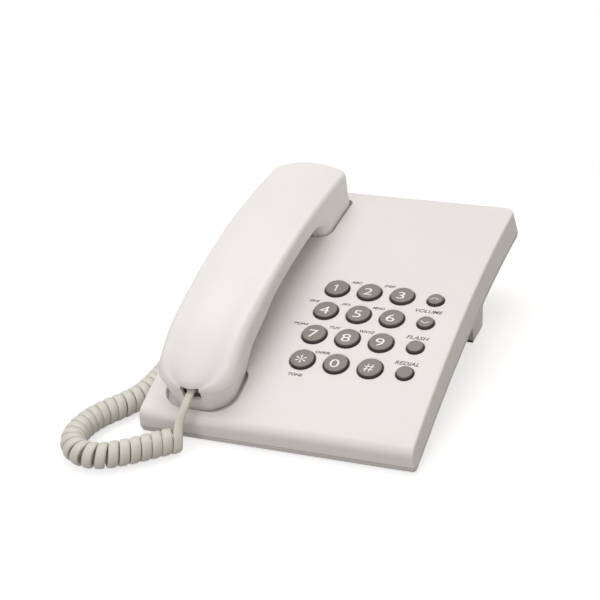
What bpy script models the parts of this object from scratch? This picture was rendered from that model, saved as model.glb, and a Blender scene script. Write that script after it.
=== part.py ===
"""Corded desk telephone: a sloping case on a rear stand, sixteen keys, a resting handset, a curly cord.

The case, its keys and the resting handset are drawn in the slab frame: X to the right, Y from the front
edge to the rear edge, Z square to the case's top at its front edge. An empty tips it by TILT about X.
The stand, the feet and the cord are drawn in the table's frame, where Z = 0 is the table.
"""

from math import asin, cos, pi, radians, sin, sqrt

import bmesh
import bpy
from mathutils import Matrix, Vector

MM = 0.001

# ---- clearances
GAP = 0.3 * MM                      # between pieces that touch
RUN_GAP = 0.5 * MM                  # round a key or a plunger in its hole

# ---- case
TILT = radians(21.5)                # rise of the top at its front edge
CASE_WIDTH = 150.0 * MM
CASE_LENGTH = 207.0 * MM            # front face to rear face along the slab
CASE_MIDDLE = 101.7 * MM            # from the front bottom edge back to the origin, along the table
FRONT_DEPTH = 14.0 * MM             # height of the front face
TOP_RADIUS = 635.0 * MM             # long curve of the top
BOTTOM_RADIUS = 680.0 * MM          # long curve of the underside
BOTTOM_SLOPE = 0.04                 # underside against the slab's Y at the front
WALL = 2.2 * MM
CREASE_RADIUS = 4.0 * MM            # where the top rolls into the front face
SIDE_ROUND = 1.2 * MM               # where the top rolls into the sides
BOTTOM_EDGE_ROUND = 0.3 * MM
SKIRT = 1.2 * MM                    # how far sides and rear lean out from the top to the seam
FRONT_SKIRT = 2.4 * MM              # the same for the front face
SKIRT_RETURN = 0.5                  # share of the lean that the bottom cover takes back
FRONT_CHAMFER = 1.0 * MM            # rise of the underside at the front edge
FRONT_CHAMFER_LENGTH = 15.0 * MM
FRONT_CORNER = 1.5 * MM             # corners seen from above
REAR_CORNER = 6.0 * MM
SEAM_HEIGHT = 3.1 * MM              # band of the bottom cover that shows below the seam
SEAM_GAP = 0.35 * MM

# ---- front edge above the table, feet and stand
FRONT_LIFT = 0.8 * MM
FOOT_SIZE = (14.0 * MM, 8.0 * MM)   # width, length
FOOT_INSET = 19.0 * MM             # middle of a foot from the case's side
FOOT_X = CASE_WIDTH / 2.0 - FOOT_INSET
FOOT_BACK = 3.5 * MM                # from the front bottom edge to the foot
STAND_INSET = 8.0 * MM              # legs from the case's sides
STAND_HALF_WIDTH = CASE_WIDTH / 2.0 - STAND_INSET
LEG_WIDTH = 9.0 * MM
LEG_FRONT = 136.4 * MM              # from the front bottom edge, along the table
LEG_LENGTH = 18.9 * MM
LEG_FLARE = (8.0 * MM, 4.0 * MM)    # how far the leg's top reaches past its sole, front and rear
BRIDGE_DEPTH = 7.0 * MM             # crosspiece under the case
PAD_HEIGHT = 1.5 * MM

# ---- keys: along the top's curve from the front edge, and across
KEY_ROWS = (108.0 * MM, 88.7 * MM, 69.3 * MM, 49.9 * MM)
SMALL_COLUMN_INSET = 18.4 * MM      # small keys from the case's right side
COLUMN_OFFSETS = (56.35 * MM, 37.6 * MM, 18.8 * MM)     # dialling keys from the small ones
SMALL_COLUMN = CASE_WIDTH / 2.0 - SMALL_COLUMN_INSET
KEY_COLUMNS = tuple(SMALL_COLUMN - offset for offset in COLUMN_OFFSETS)
KEY_RADIUS = 6.75 * MM
SMALL_KEY_RADIUS = 4.6 * MM
KEY_PROUD = 1.8 * MM
KEY_ROUND = 0.6 * MM
KEY_FLANGE = 1.2 * MM               # how far the hidden flange reaches past the cap
FLANGE_THICK = 0.9 * MM
KEY_TRAVEL = 1.5 * MM
KEY_STEPS = 16
DIAL_NAMES = ("key_1", "key_2", "key_3", "key_4", "key_5", "key_6",
              "key_7", "key_8", "key_9", "key_star", "key_0", "key_hash")
SMALL_NAMES = ("key_volume_up", "key_volume_down", "key_flash", "key_redial")

# ---- rubber mat and circuit board under the keys
STACK_AT = 79.0 * MM                # place along the top's curve where board and top are parallel
DOME_CLEAR = 0.3 * MM
DOME_HEIGHT = 0.6 * MM
DOME_RADIUS = 3.2 * MM
MAT_THICK = 1.0 * MM
BOARD_THICK = 1.6 * MM
BOARD_SIDES = (11.75 * MM, 5.5 * MM)    # left of the first column, and from the case's right side
BOARD_X = (KEY_COLUMNS[0] - BOARD_SIDES[0], CASE_WIDTH / 2.0 - BOARD_SIDES[1])
BOARD_MARGIN = 11.95 * MM           # from the first and the last row of keys to the board's ends
BOARD_REACH = (KEY_ROWS[0] - KEY_ROWS[-1]) / 2.0 + BOARD_MARGIN
BOARD_SCREW_INSET = 4.0 * MM
CHIP_HEIGHT = 1.6 * MM
CHIPS = ((21.5, -12.0, 12.0, 9.0), (45.5, 6.0, 7.0, 7.0), (63.5, -14.0, 9.0, 5.0),
         (31.5, 22.0, 16.0, 6.0), (63.5, 20.0, 6.0, 8.0))   # x from the board's left edge, y, size, mm

# ---- handset, lying in the slab frame
HANDSET_INSET = 30.1 * MM           # its middle from the case's left side
HANDSET_X = HANDSET_INSET - CASE_WIDTH / 2.0
HANDSET_FRONT = 7.5 * MM
REAR_MARGIN = 9.5 * MM              # case behind the handset
HANDSET_REAR = CASE_LENGTH - REAR_MARGIN
HANDSET_HALF = 22.4 * MM            # half width of the upper shell
BACK_RADIUS = 415.0 * MM            # long curve of the back
BACK_PEAK_Y = 28.0 * MM
BACK_PEAK_Z = 27.0 * MM             # height of the shoulders there
ROLL_FROM = 50.0 * MM               # ahead of this the back rolls down to the mouth end
ROLL_RADIUS = 80.0 * MM
NOSE_ROUND = 2.5 * MM               # where the back rolls into the front face
REAR_ROUND = 1.2 * MM               # where it rolls into the rear face
CROWN = 3.0 * MM
MOUTH_CORNER = 15.0 * MM            # corners seen from above
EAR_CORNER = 6.5 * MM
PARTING_LEVEL = 13.0 * MM           # seam of the two shells at the mouth end
PARTING_DROP = 11.0 * MM            # seam below the shoulders along the grip
GRIP_DROP = 15.0 * MM               # underside of the grip below the shoulders
LOWER_INSET = 0.8 * MM              # the lower shell stands in from the upper one
EAR_INSET = 0.2 * MM
LOWER_TAPER = 0.1                   # how the mouth end narrows downwards
MOUTH_BLOCK_END = 33.0 * MM
MOUTH_RISE_END = 82.0 * MM
EAR_BLOCK_LENGTH = 43.0 * MM
EAR_BLOCK_START = HANDSET_REAR - EAR_BLOCK_LENGTH
EAR_LEAN = 0.17                     # of the rear face against the slab's Z
EAR_FILLET = 16.0 * MM              # concave run from the grip down to the ear block
SHOULDER_ROUND = (8.5 * MM, 3.0 * MM)   # of the upper shell, at the mouth end and from the grip's end on
EDGE_ROUND = (3.0 * MM, 6.0 * MM)   # of the lower shell's edges, at the ends and in the middle
GRIP_AHEAD = 34.5 * MM              # grip's end ahead of the ear block
GRIP_END = EAR_BLOCK_START - GRIP_AHEAD
SHELL_WALL = 2.0 * MM

# ---- what the handset holds
SCREW_OFFSETS = (29.0 * MM, 26.5 * MM)  # behind the mouth block, and ahead of the ear block
HANDSET_SCREWS = (MOUTH_BLOCK_END + SCREW_OFFSETS[0], EAR_BLOCK_START - SCREW_OFFSETS[1])
HANDSET_POST = 3.2 * MM             # radius
CUP_HEIGHT = 1.4 * MM               # floor over a screw's head
RECEIVER_Y = HANDSET_REAR - EAR_BLOCK_LENGTH / 2.0
RECEIVER_RADIUS = 16.0 * MM
RECEIVER_RIM = 4.0 * MM
MAGNET_RADIUS = 9.0 * MM
MAGNET_HEIGHT = 4.0 * MM
MICROPHONE_Y = 27.0 * MM
MICROPHONE_RADIUS = 4.8 * MM
MICROPHONE_HEIGHT = 5.0 * MM
BOOT_RADIUS = 6.4 * MM
BOOT_FLOOR = 0.9 * MM
SOUND_HOLE = 0.9 * MM               # radius
SOUND_RING = 5.0 * MM
WEIGHT_LENGTH = 38.0 * MM           # midway between the screws
WEIGHT_Y = tuple((sum(HANDSET_SCREWS) + way * WEIGHT_LENGTH) / 2.0 for way in (-1.0, 1.0))
WEIGHT_HALF = 9.0 * MM
WEIGHT_THICK = 4.0 * MM

# ---- cradle
MOUTH_SEAT_DEPTH = 3.0 * MM
EAR_SEAT_DEPTH = 5.0 * MM
MOUTH_SEAT_HALF = 20.7 * MM
MOUTH_SEAT_FRONT = 6.4 * MM
MOUTH_SEAT_REAR = 40.0 * MM
MOUTH_SEAT_CORNERS = (13.5 * MM, 4.0 * MM)  # front, rear
EAR_SEAT_MARGIN = 1.1 * MM
EAR_SEAT_CORNER = 3.5 * MM          # front corners

# ---- hook switch
PLUNGER_BACK = 6.0 * MM             # its middle behind the ear block's front face
PLUNGER_Y = EAR_BLOCK_START + PLUNGER_BACK
PLUNGER_SIZE = (9.0 * MM, 4.5 * MM)
PLUNGER_FLANGE = 1.0 * MM
PLUNGER_TRAVEL = 3.0 * MM
HOOK_SWITCH_SIZE = (14.0 * MM, 8.0 * MM)
HOOK_SWITCH_HEIGHT = 2.5 * MM

# ---- what stands on the bottom cover
BALLAST_MARGINS = (9.0 * MM, 12.5 * MM)     # from the case's left side, and from the board
BALLAST_X = (BALLAST_MARGINS[0] - CASE_WIDTH / 2.0, BOARD_X[0] - BALLAST_MARGINS[1])
BALLAST_Y = (48.0 * MM, 98.0 * MM)
BALLAST_THICK = 3.0 * MM
BUZZER_INSETS = (35.0 * MM, 43.0 * MM)      # from the case's right side and from its rear
BUZZER_PLACE = (CASE_WIDTH / 2.0 - BUZZER_INSETS[0], CASE_LENGTH - BUZZER_INSETS[1])
BUZZER_RADIUS = 13.5 * MM
BUZZER_HEIGHT = 3.0 * MM

# ---- screws
CASE_SCREW_INSETS = (7.0 * MM, 24.0 * MM, 21.0 * MM)    # from the sides, the front and the rear
CASE_SCREW_X = CASE_WIDTH / 2.0 - CASE_SCREW_INSETS[0]
CASE_SCREW_Y = (CASE_SCREW_INSETS[1], CASE_LENGTH - CASE_SCREW_INSETS[2])
SCREW_HEAD = 2.6 * MM               # radius
SCREW_SHANK = 1.3 * MM              # radius
SCREW_LENGTH = 7.0 * MM
HEAD_HEIGHT = 1.2 * MM
BOSS_RADIUS = 3.4 * MM
BOARD_SCREW_HEAD = 2.2 * MM
BOARD_SCREW_SHANK = 1.0 * MM
BOARD_SCREW_LENGTH = 5.5 * MM
BOARD_POST_RADIUS = 3.0 * MM

# ---- jacks and plugs
PLUG_WIDTH = 7.6 * MM
PLUG_HEIGHT = 5.6 * MM
PLUG_LENGTH = 11.0 * MM
JACK_WALL = 1.0 * MM
HANDSET_PORT_Z = (8.0 * MM, 15.4 * MM)
HANDSET_PORT_WIDTH = 9.0 * MM
PLUG_RECESS = 3.0 * MM              # plug behind the handset's front face
HANDSET_JACK_BACK = 5.2 * MM        # jack behind the handset's front face
SIDE_PORT_Y = 112.0 * MM            # jack for the curly cord in the case's left side
SIDE_PORT_DROP = 9.0 * MM           # its middle below the top
SIDE_PORT_PROUD = 1.5 * MM          # plug standing out of the case's side
LINE_JACK_INSET = 25.0 * MM         # from the case's right side
LINE_JACK_X = CASE_WIDTH / 2.0 - LINE_JACK_INSET
LINE_JACK_SIZE = (12.6 * MM, 14.0 * MM, 9.0 * MM)
LINE_SOCKET = (9.8 * MM, 6.6 * MM, 11.0 * MM)   # width, height, depth

# ---- slide switches in the rear face
SLIDER_OFFSETS = (48.0 * MM, 26.0 * MM)     # from the line jack
SLIDER_X = tuple(LINE_JACK_X - offset for offset in SLIDER_OFFSETS)
SLIDER_NAMES = ("ringer_switch_knob", "dial_mode_switch_knob")
SLIDER_KNOB = (3.0 * MM, 2.4 * MM)  # along the slot, across it
SLIDER_PROUD = 1.2 * MM
SLIDER_TRAVEL = 2.0 * MM            # each way from the middle
SLIDER_DROP = 8.0 * MM              # slot below the top's rear edge

# ---- curly cord, in the table's frame measured from the front bottom edge
WIRE_RADIUS = 1.45 * MM
CURL_RADIUS = 5.5 * MM              # middle of the wire from the coil's centreline
CURL_PITCH = 5.55 * MM
CURL_POINTS = 8
CURL_START = radians(40.0)          # where on its turn the first curl begins, from its top
COIL_LIFT = 0.25 * MM               # coil above the table
LEAD_STEP = 3.2 * MM
COIL_ROUTE = ((-1.7, -14.4), (-10.5, -22.0), (-19.2, -29.9), (-27.1, -36.2), (-34.6, -40.4),
              (-42.6, -41.4), (-49.4, -38.6), (-54.4, -32.6), (-56.7, -25.0), (-56.8, -17.0),
              (-55.1, -8.6), (-51.1, 0.4), (-45.9, 9.4), (-41.9, 18.8), (-39.9, 29.0),
              (-39.6, 42.0), (-39.6, 56.0), (-39.6, 70.0), (-39.6, 84.0))    # X from the handset's middle
HANDSET_LEAD = ((1.0, -11.0, 24.6), (0.9, -16.2, 21.2), (0.3, -18.4, 16.6))
SIDE_LEAD_BACK = 14.0 * MM          # the lead's lowest sweep behind the coil's end


# ---- curves of the case and the handset
def arc_drop(distance, radius):
    return radius - sqrt(radius * radius - distance * distance)


def top_z(y):
    return -arc_drop(y, TOP_RADIUS)


def bottom_z(y):
    chamfer = FRONT_CHAMFER * min(1.0, max(0.0, 1.0 - y / FRONT_CHAMFER_LENGTH)) ** 2
    return -FRONT_DEPTH - BOTTOM_SLOPE * y - arc_drop(y, BOTTOM_RADIUS) + chamfer


def seam_z(y):
    return bottom_z(y) + SEAM_HEIGHT


def on_top(distance, height=0.0):
    """Slab Y and Z of a point at a distance along the top's curve and a height square to it."""
    angle = distance / TOP_RADIUS
    return (TOP_RADIUS + height) * sin(angle), (TOP_RADIUS + height) * cos(angle) - TOP_RADIUS


def back_z(y):
    return BACK_PEAK_Z - arc_drop(y - BACK_PEAK_Y, BACK_RADIUS)


def shoulder_z(y):
    roll = max(0.0, ROLL_FROM - y)
    nose = min(NOSE_ROUND, max(0.0, HANDSET_FRONT + NOSE_ROUND - y))
    return back_z(y) - roll * roll / (2.0 * ROLL_RADIUS) - arc_drop(nose, NOSE_ROUND)


def parting_z(y):
    return min(PARTING_LEVEL, back_z(y) - PARTING_DROP)


def underside_z(y):
    grip = back_z(y) - GRIP_DROP
    mouth_floor = top_z(y) - MOUTH_SEAT_DEPTH + GAP
    ear_floor = top_z(y) - EAR_SEAT_DEPTH + GAP
    if y <= MOUTH_BLOCK_END:
        return mouth_floor
    if y < MOUTH_RISE_END:
        share = (y - MOUTH_BLOCK_END) / (MOUTH_RISE_END - MOUTH_BLOCK_END)
        return mouth_floor + (grip - mouth_floor) * sin(share * pi / 2.0)
    if y <= EAR_BLOCK_START - EAR_FILLET:
        return grip
    if y < EAR_BLOCK_START:
        share = (y - EAR_BLOCK_START + EAR_FILLET) / EAR_FILLET
        return grip + (ear_floor - grip) * (1.0 - sqrt(1.0 - share * share))
    return ear_floor


def corner_half(y, low, high, half, low_round, high_round):
    """Half width of an outline with rounded corners, seen from above."""
    if y < low + low_round:
        return half - low_round + sqrt(max(0.0, low_round ** 2 - (low + low_round - y) ** 2))
    if y > high - high_round:
        return half - high_round + sqrt(max(0.0, high_round ** 2 - (y - high + high_round) ** 2))
    return half


def corner_stations(low, high, low_round, high_round, low_steps, high_steps):
    """Y values that follow the two rounded ends of an outline."""
    front = [low + low_round * (1.0 - cos(pi / 2.0 * i / low_steps)) for i in range(low_steps + 1)]
    rear = [high - high_round * (1.0 - cos(pi / 2.0 * i / high_steps)) for i in range(high_steps + 1)]
    return front, rear[::-1]


def to_table(y, z):
    """Table Y (from the origin) and Z of a point of the slab frame."""
    rise = FRONT_LIFT + FRONT_DEPTH * cos(TILT)
    back = -CASE_MIDDLE - FRONT_DEPTH * sin(TILT)
    return y * cos(TILT) - z * sin(TILT) + back, y * sin(TILT) + z * cos(TILT) + rise


def case_bottom_above_table(back):
    """Height of the case's underside at a distance behind the front bottom edge, along the table."""
    low, high = 0.0, CASE_LENGTH
    for _ in range(40):
        middle = (low + high) / 2.0
        if to_table(middle, bottom_z(middle))[0] + CASE_MIDDLE < back:
            low = middle
        else:
            high = middle
    return to_table(low, bottom_z(low))[1]


# ---- scene and materials
def clear_scene():
    for obj in list(bpy.data.objects):
        bpy.data.objects.remove(obj, do_unlink=True)


def make_collection(name):
    collection = bpy.data.collections.new(name)
    bpy.context.scene.collection.children.link(collection)
    return collection


def make_material(name, colour, roughness, metallic=0.0):
    material = bpy.data.materials.new(name)
    material.use_nodes = True
    shader = material.node_tree.nodes["Principled BSDF"]
    shader.inputs["Base Color"].default_value = (*colour, 1.0)
    shader.inputs["Roughness"].default_value = roughness
    shader.inputs["Metallic"].default_value = metallic
    return material


clear_scene()
PHONE = make_collection("corded_desk_phone")
CUTTERS = make_collection("cutters")
MATERIALS = {
    "shell": make_material("shell", (0.80, 0.78, 0.75), 0.45),
    "cover": make_material("cover", (0.70, 0.68, 0.65), 0.55),
    "key": make_material("key", (0.30, 0.29, 0.27), 0.5),
    "rubber": make_material("rubber", (0.05, 0.05, 0.05), 0.85),
    "silicone": make_material("silicone", (0.45, 0.45, 0.43), 0.7),
    "board": make_material("board", (0.10, 0.28, 0.14), 0.5),
    "dark": make_material("dark", (0.04, 0.04, 0.04), 0.5),
    "steel": make_material("steel", (0.55, 0.55, 0.55), 0.35, 1.0),
    "cord": make_material("cord", (0.76, 0.74, 0.70), 0.5),
    "clear": make_material("clear", (0.75, 0.75, 0.72), 0.2),
}


# ---- solids
def add_object(name, mesh, collection=CUTTERS):
    obj = bpy.data.objects.new(name, mesh)
    collection.objects.link(obj)
    if collection is CUTTERS:
        obj.hide_render = True
        obj.display_type = "WIRE"
    return obj


def from_bmesh(name, bm):
    bmesh.ops.recalc_face_normals(bm, faces=bm.faces)
    mesh = bpy.data.meshes.new(name)
    bm.to_mesh(mesh)
    bm.free()
    return add_object(name, mesh)


def box(name, x, y, z):
    """A block between pairs of x, y and z."""
    bm = bmesh.new()
    bmesh.ops.create_cube(bm, size=1.0)
    size = Vector((x[1] - x[0], y[1] - y[0], z[1] - z[0]))
    middle = Vector(((x[0] + x[1]) / 2.0, (y[0] + y[1]) / 2.0, (z[0] + z[1]) / 2.0))
    bmesh.ops.scale(bm, vec=size, verts=bm.verts)
    bmesh.ops.translate(bm, vec=middle, verts=bm.verts)
    return from_bmesh(name, bm)


def rod(name, radius, x, y, z, steps=12):
    """A cylinder along Z between a pair of z."""
    bm = bmesh.new()
    bmesh.ops.create_cone(bm, cap_ends=True, segments=steps, radius1=radius, radius2=radius,
                          depth=z[1] - z[0])
    bmesh.ops.translate(bm, vec=(x, y, (z[0] + z[1]) / 2.0), verts=bm.verts)
    return from_bmesh(name, bm)


def curve_solid(name, curve, placement):
    """The mesh of a filled curve, with its caps welded on."""
    guide = bpy.data.objects.new(name, curve)
    CUTTERS.objects.link(guide)
    guide.matrix_world = placement
    bpy.context.view_layer.update()
    mesh = bpy.data.meshes.new_from_object(guide.evaluated_get(bpy.context.evaluated_depsgraph_get()))
    bpy.data.objects.remove(guide, do_unlink=True)
    bm = bmesh.new()
    bm.from_mesh(mesh)
    bpy.data.meshes.remove(mesh)
    bmesh.ops.remove_doubles(bm, verts=bm.verts, dist=0.001 * MM)
    bmesh.ops.transform(bm, matrix=placement, verts=bm.verts)
    return from_bmesh(name, bm)


def outline_solid(name, outline, thickness, placement):
    """A flat outline given half its thickness each way."""
    curve = bpy.data.curves.new(name, "CURVE")
    curve.dimensions = "2D"
    curve.fill_mode = "BOTH"
    curve.extrude = thickness / 2.0
    spline = curve.splines.new("POLY")
    spline.points.add(len(outline) - 1)
    for point, (u, v) in zip(spline.points, outline):
        point.co = (u, v, 0.0, 1.0)
    spline.use_cyclic_u = True
    return curve_solid(name, curve, placement)


def side_solid(name, outline, x):
    """A side view of (y, z) points, between a pair of x."""
    placement = Matrix(((0.0, 0.0, 1.0, (x[0] + x[1]) / 2.0), (1.0, 0.0, 0.0, 0.0),
                        (0.0, 1.0, 0.0, 0.0), (0.0, 0.0, 0.0, 1.0)))
    return outline_solid(name, outline, x[1] - x[0], placement)


def plan_solid(name, outline, z):
    """A top view of (x, y) points, between a pair of z."""
    return outline_solid(name, outline, z[1] - z[0], Matrix.Translation((0.0, 0.0, (z[0] + z[1]) / 2.0)))


def rounded_plan(middle_x, half, y, low_round, high_round, steps=5):
    """Points round a rectangle whose front and rear corners have their own radii."""
    right = []
    front, rear = corner_stations(y[0], y[1], low_round, high_round, steps, steps)
    for station in front + rear:
        right.append((corner_half(station, y[0], y[1], half, low_round, high_round), station))
    left = [(-u, v) for u, v in reversed(right)]
    return [(middle_x + u, v) for u, v in right + left]


def loft(name, rings):
    """A closed skin through rings of equal point counts."""
    bm = bmesh.new()
    rows = [[bm.verts.new(point) for point in ring] for ring in rings]
    for row, following in zip(rows, rows[1:]):
        for i in range(len(row)):
            j = (i + 1) % len(row)
            bm.faces.new((row[i], row[j], following[j], following[i]))
    bm.faces.new(rows[0])
    bm.faces.new(reversed(rows[-1]))
    return from_bmesh(name, bm)


def section(y, middle_x, half, low, high, crown, high_round, low_round, taper=0.0, steps=3, waist=None):
    """A ring across the handset or the case: flat bottom, upright sides, rounded shoulders and a crown."""
    base = half - taper * (high - low)
    right = [(base - low_round * (1.0 - sin(pi / 2.0 * i / steps)), low + low_round
              - low_round * cos(pi / 2.0 * i / steps)) for i in range(steps + 1)]
    if waist is not None:
        right.append((half, waist))
    right += [(half - high_round * (1.0 - cos(pi / 2.0 * i / steps)), high - high_round
               + high_round * sin(pi / 2.0 * i / steps)) for i in range(steps + 1)]
    left = [(-u, v) for u, v in reversed(right)]
    if crown:
        flat = half - high_round
        arch = [(flat * share, high + crown * (1.0 - share * share)) for share in (0.65, 0.3, -0.3, -0.65)]
        left = arch + left
    return [(middle_x + u, y, v) for u, v in right + left]


def carve(target, tool, operation="DIFFERENCE"):
    """Join, cut or intersect a solid with another one, and keep the result as its mesh."""
    modifier = target.modifiers.new(operation.title(), "BOOLEAN")
    modifier.operation = operation
    modifier.solver = "EXACT"
    modifier.object = tool
    bpy.context.view_layer.update()
    mesh = bpy.data.meshes.new_from_object(target.evaluated_get(bpy.context.evaluated_depsgraph_get()))
    target.modifiers.clear()
    spent = target.data
    target.data = mesh
    bpy.data.meshes.remove(spent)
    bm = bmesh.new()
    bm.from_mesh(mesh)
    bmesh.ops.remove_doubles(bm, verts=bm.verts, dist=0.002 * MM)
    bmesh.ops.dissolve_degenerate(bm, edges=bm.edges, dist=0.001 * MM)
    bm.to_mesh(mesh)
    bm.free()


def copy_of(source, name):
    return add_object(name, source.data.copy())


def finish(obj, name, material, frame=None, smooth=True):
    """Name a finished piece, give it its material and put it among the phone's parts."""
    CUTTERS.objects.unlink(obj)
    PHONE.objects.link(obj)
    obj.name = name
    obj.data.name = name
    obj.hide_render = False
    obj.display_type = "TEXTURED"
    obj.data.materials.clear()
    obj.data.materials.append(MATERIALS[material])
    if smooth:
        obj.data.shade_smooth()
        obj.data.set_sharp_from_angle(angle=radians(35.0))
    obj.parent = frame
    return obj


def add_empty(name, location, tilt=0.0, parent=None):
    empty = bpy.data.objects.new(name, None)
    PHONE.objects.link(empty)
    empty.empty_display_size = 10.0 * MM
    empty.location = location
    empty.rotation_euler = (tilt, 0.0, 0.0)
    empty.parent = parent
    return empty


def set_origin(obj, point):
    """Move a piece's origin without moving the piece."""
    obj.data.transform(Matrix.Translation(-Vector(point)))
    obj.location = point


# ---- case shells
def case_body(name, inset):
    """The case's outer form, or its hollow when it is inset by the wall."""
    low, high = inset, CASE_LENGTH - inset
    low_round = max(FRONT_CORNER - inset, 0.5 * MM)
    high_round = max(REAR_CORNER - inset, 0.5 * MM)
    crease = max(CREASE_RADIUS - inset, 0.5 * MM)
    front, rear = corner_stations(low, high, crease, high_round, 4, 4)
    rings = []
    for y in front + case_stations() + rear:
        half = corner_half(y, low, high, CASE_WIDTH / 2.0 - inset, low_round, high_round)
        roll = crease - sqrt(max(0.0, crease ** 2 - max(0.0, low + crease - y) ** 2))
        high_z = top_z(y) - inset - roll
        side = SIDE_ROUND if inset == 0.0 else 0.4 * MM
        ring = section(y, 0.0, half, bottom_z(y) + inset, high_z, 0.0, side, BOTTOM_EDGE_ROUND, steps=2,
                       waist=seam_z(y))
        rings.append([lean_out(point, half, low, high) for point in ring])
    return loft(name, rings)


def lean_out(point, half, low, high):
    """Push a point of the case's wall out towards the seam, and back below it."""
    x, y, z = point
    top, seam, bottom = top_z(y), seam_z(y), bottom_z(y)
    share = (top - z) / (top - seam) if z > seam else 1.0 - SKIRT_RETURN * (seam - z) / (seam - bottom)
    front = max(0.0, 1.0 - (y - low) / CREASE_RADIUS)
    rear = max(0.0, 1.0 - (high - y) / REAR_CORNER)
    return x + SKIRT * share * x / half, y + share * (SKIRT * rear - FRONT_SKIRT * front), z


def case_stations():
    first, last, count = 2.0 * CREASE_RADIUS, CASE_LENGTH - 1.5 * REAR_CORNER, 12
    return [first + (last - first) * i / count for i in range(count + 1)]


def below(name, height, offset=0.0):
    """Everything under a curve over the case's length."""
    line = [-2.0 * CREASE_RADIUS] + case_stations() + [CASE_LENGTH + REAR_CORNER]
    outline = [(y, height(y) + offset) for y in line]
    deep = bottom_z(CASE_LENGTH) - 30.0 * MM
    outline += [(line[-1], deep), (line[0], deep)]
    return side_solid(name, outline, (-CASE_WIDTH, CASE_WIDTH))


def seat_block(name, y, depth):
    """Walls and floor under a cradle hollow, kept inside the case."""
    line = [y[0] - WALL + (y[1] - y[0] + 2.0 * WALL) * i / 6 for i in range(7)]
    outline = [(v, top_z(v) - 1.0 * MM) for v in line]
    outline += [(v, top_z(v) - depth - WALL) for v in reversed(line)]
    half = HANDSET_HALF + EAR_SEAT_MARGIN + WALL
    return side_solid(name, outline, (HANDSET_X - half, HANDSET_X + half))


def seat_hollow(name, half, y, depth, low_round, high_round):
    """A cradle hollow: straight walls along the slab's Z and a floor that follows the top."""
    plan = plan_solid(name, rounded_plan(HANDSET_X, half, y, low_round, high_round),
                      (-CASE_WIDTH, CASE_WIDTH))
    line = [y[0] - 2.0 * MM + (y[1] - y[0] + 4.0 * MM) * i / 6 for i in range(7)]
    outline = [(v, top_z(v) - depth) for v in line] + [(line[-1], 30.0 * MM), (line[0], 30.0 * MM)]
    carve(plan, side_solid(name + "_depth", outline, (-CASE_WIDTH, CASE_WIDTH)), "INTERSECT")
    return plan


def ear_seat_y():
    return EAR_BLOCK_START - EAR_SEAT_MARGIN, HANDSET_REAR + EAR_SEAT_MARGIN


def case_screws():
    return [(x, y) for y in CASE_SCREW_Y for x in (-CASE_SCREW_X, CASE_SCREW_X)]


def key_holes():
    """Pairs of place and radius: across, along the top's curve, and the cap's radius."""
    holes = [(x, row, KEY_RADIUS) for row in KEY_ROWS for x in KEY_COLUMNS]
    return holes + [(SMALL_COLUMN, row, SMALL_KEY_RADIUS) for row in KEY_ROWS]


def place_on_top(obj, x, distance):
    """Stand a piece drawn round Z = 0 on the top's curve, square to it."""
    y, z = on_top(distance)
    obj.data.transform(Matrix.Translation((x, y, z)) @ Matrix.Rotation(-distance / TOP_RADIUS, 4, "X"))


def stack_level(offset):
    """Slab matrix of the board's plane at a depth below the top."""
    y, z = on_top(STACK_AT, -offset)
    return Matrix.Translation((0.0, y, z)) @ Matrix.Rotation(-STACK_AT / TOP_RADIUS, 4, "X")


def mat_top_depth():
    """Depth of the mat's sheet, so that the outermost key still clears its dome when pressed."""
    reach = max(abs(row - STACK_AT) for row in KEY_ROWS) + KEY_RADIUS + KEY_FLANGE
    flange = WALL + GAP + FLANGE_THICK + arc_drop(reach, TOP_RADIUS)
    return flange + KEY_TRAVEL + DOME_CLEAR + DOME_HEIGHT


def board_depth():
    return mat_top_depth() + MAT_THICK + GAP


def board_screws():
    reach = BOARD_REACH - BOARD_SCREW_INSET
    return [(x, y) for x in (BOARD_X[0] + BOARD_SCREW_INSET, BOARD_X[1] - BOARD_SCREW_INSET)
            for y in (-reach, reach)]


def board_screw_tip():
    """Height of a board screw's tip above the board's upper face."""
    return BOARD_SCREW_LENGTH - BOARD_THICK - GAP


def side_port_z():
    return top_z(SIDE_PORT_Y) - SIDE_PORT_DROP


def rear_slot_z():
    return top_z(CASE_LENGTH) - SLIDER_DROP


def line_jack_box():
    """Corners of the line jack: behind the rear wall, under the top."""
    width, length, height = LINE_JACK_SIZE
    inner = CASE_LENGTH - WALL - GAP
    top = top_z(inner) - WALL - 0.5 * MM
    return (LINE_JACK_X - width / 2, LINE_JACK_X + width / 2), (inner - length, inner), (top - height, top)


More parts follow.
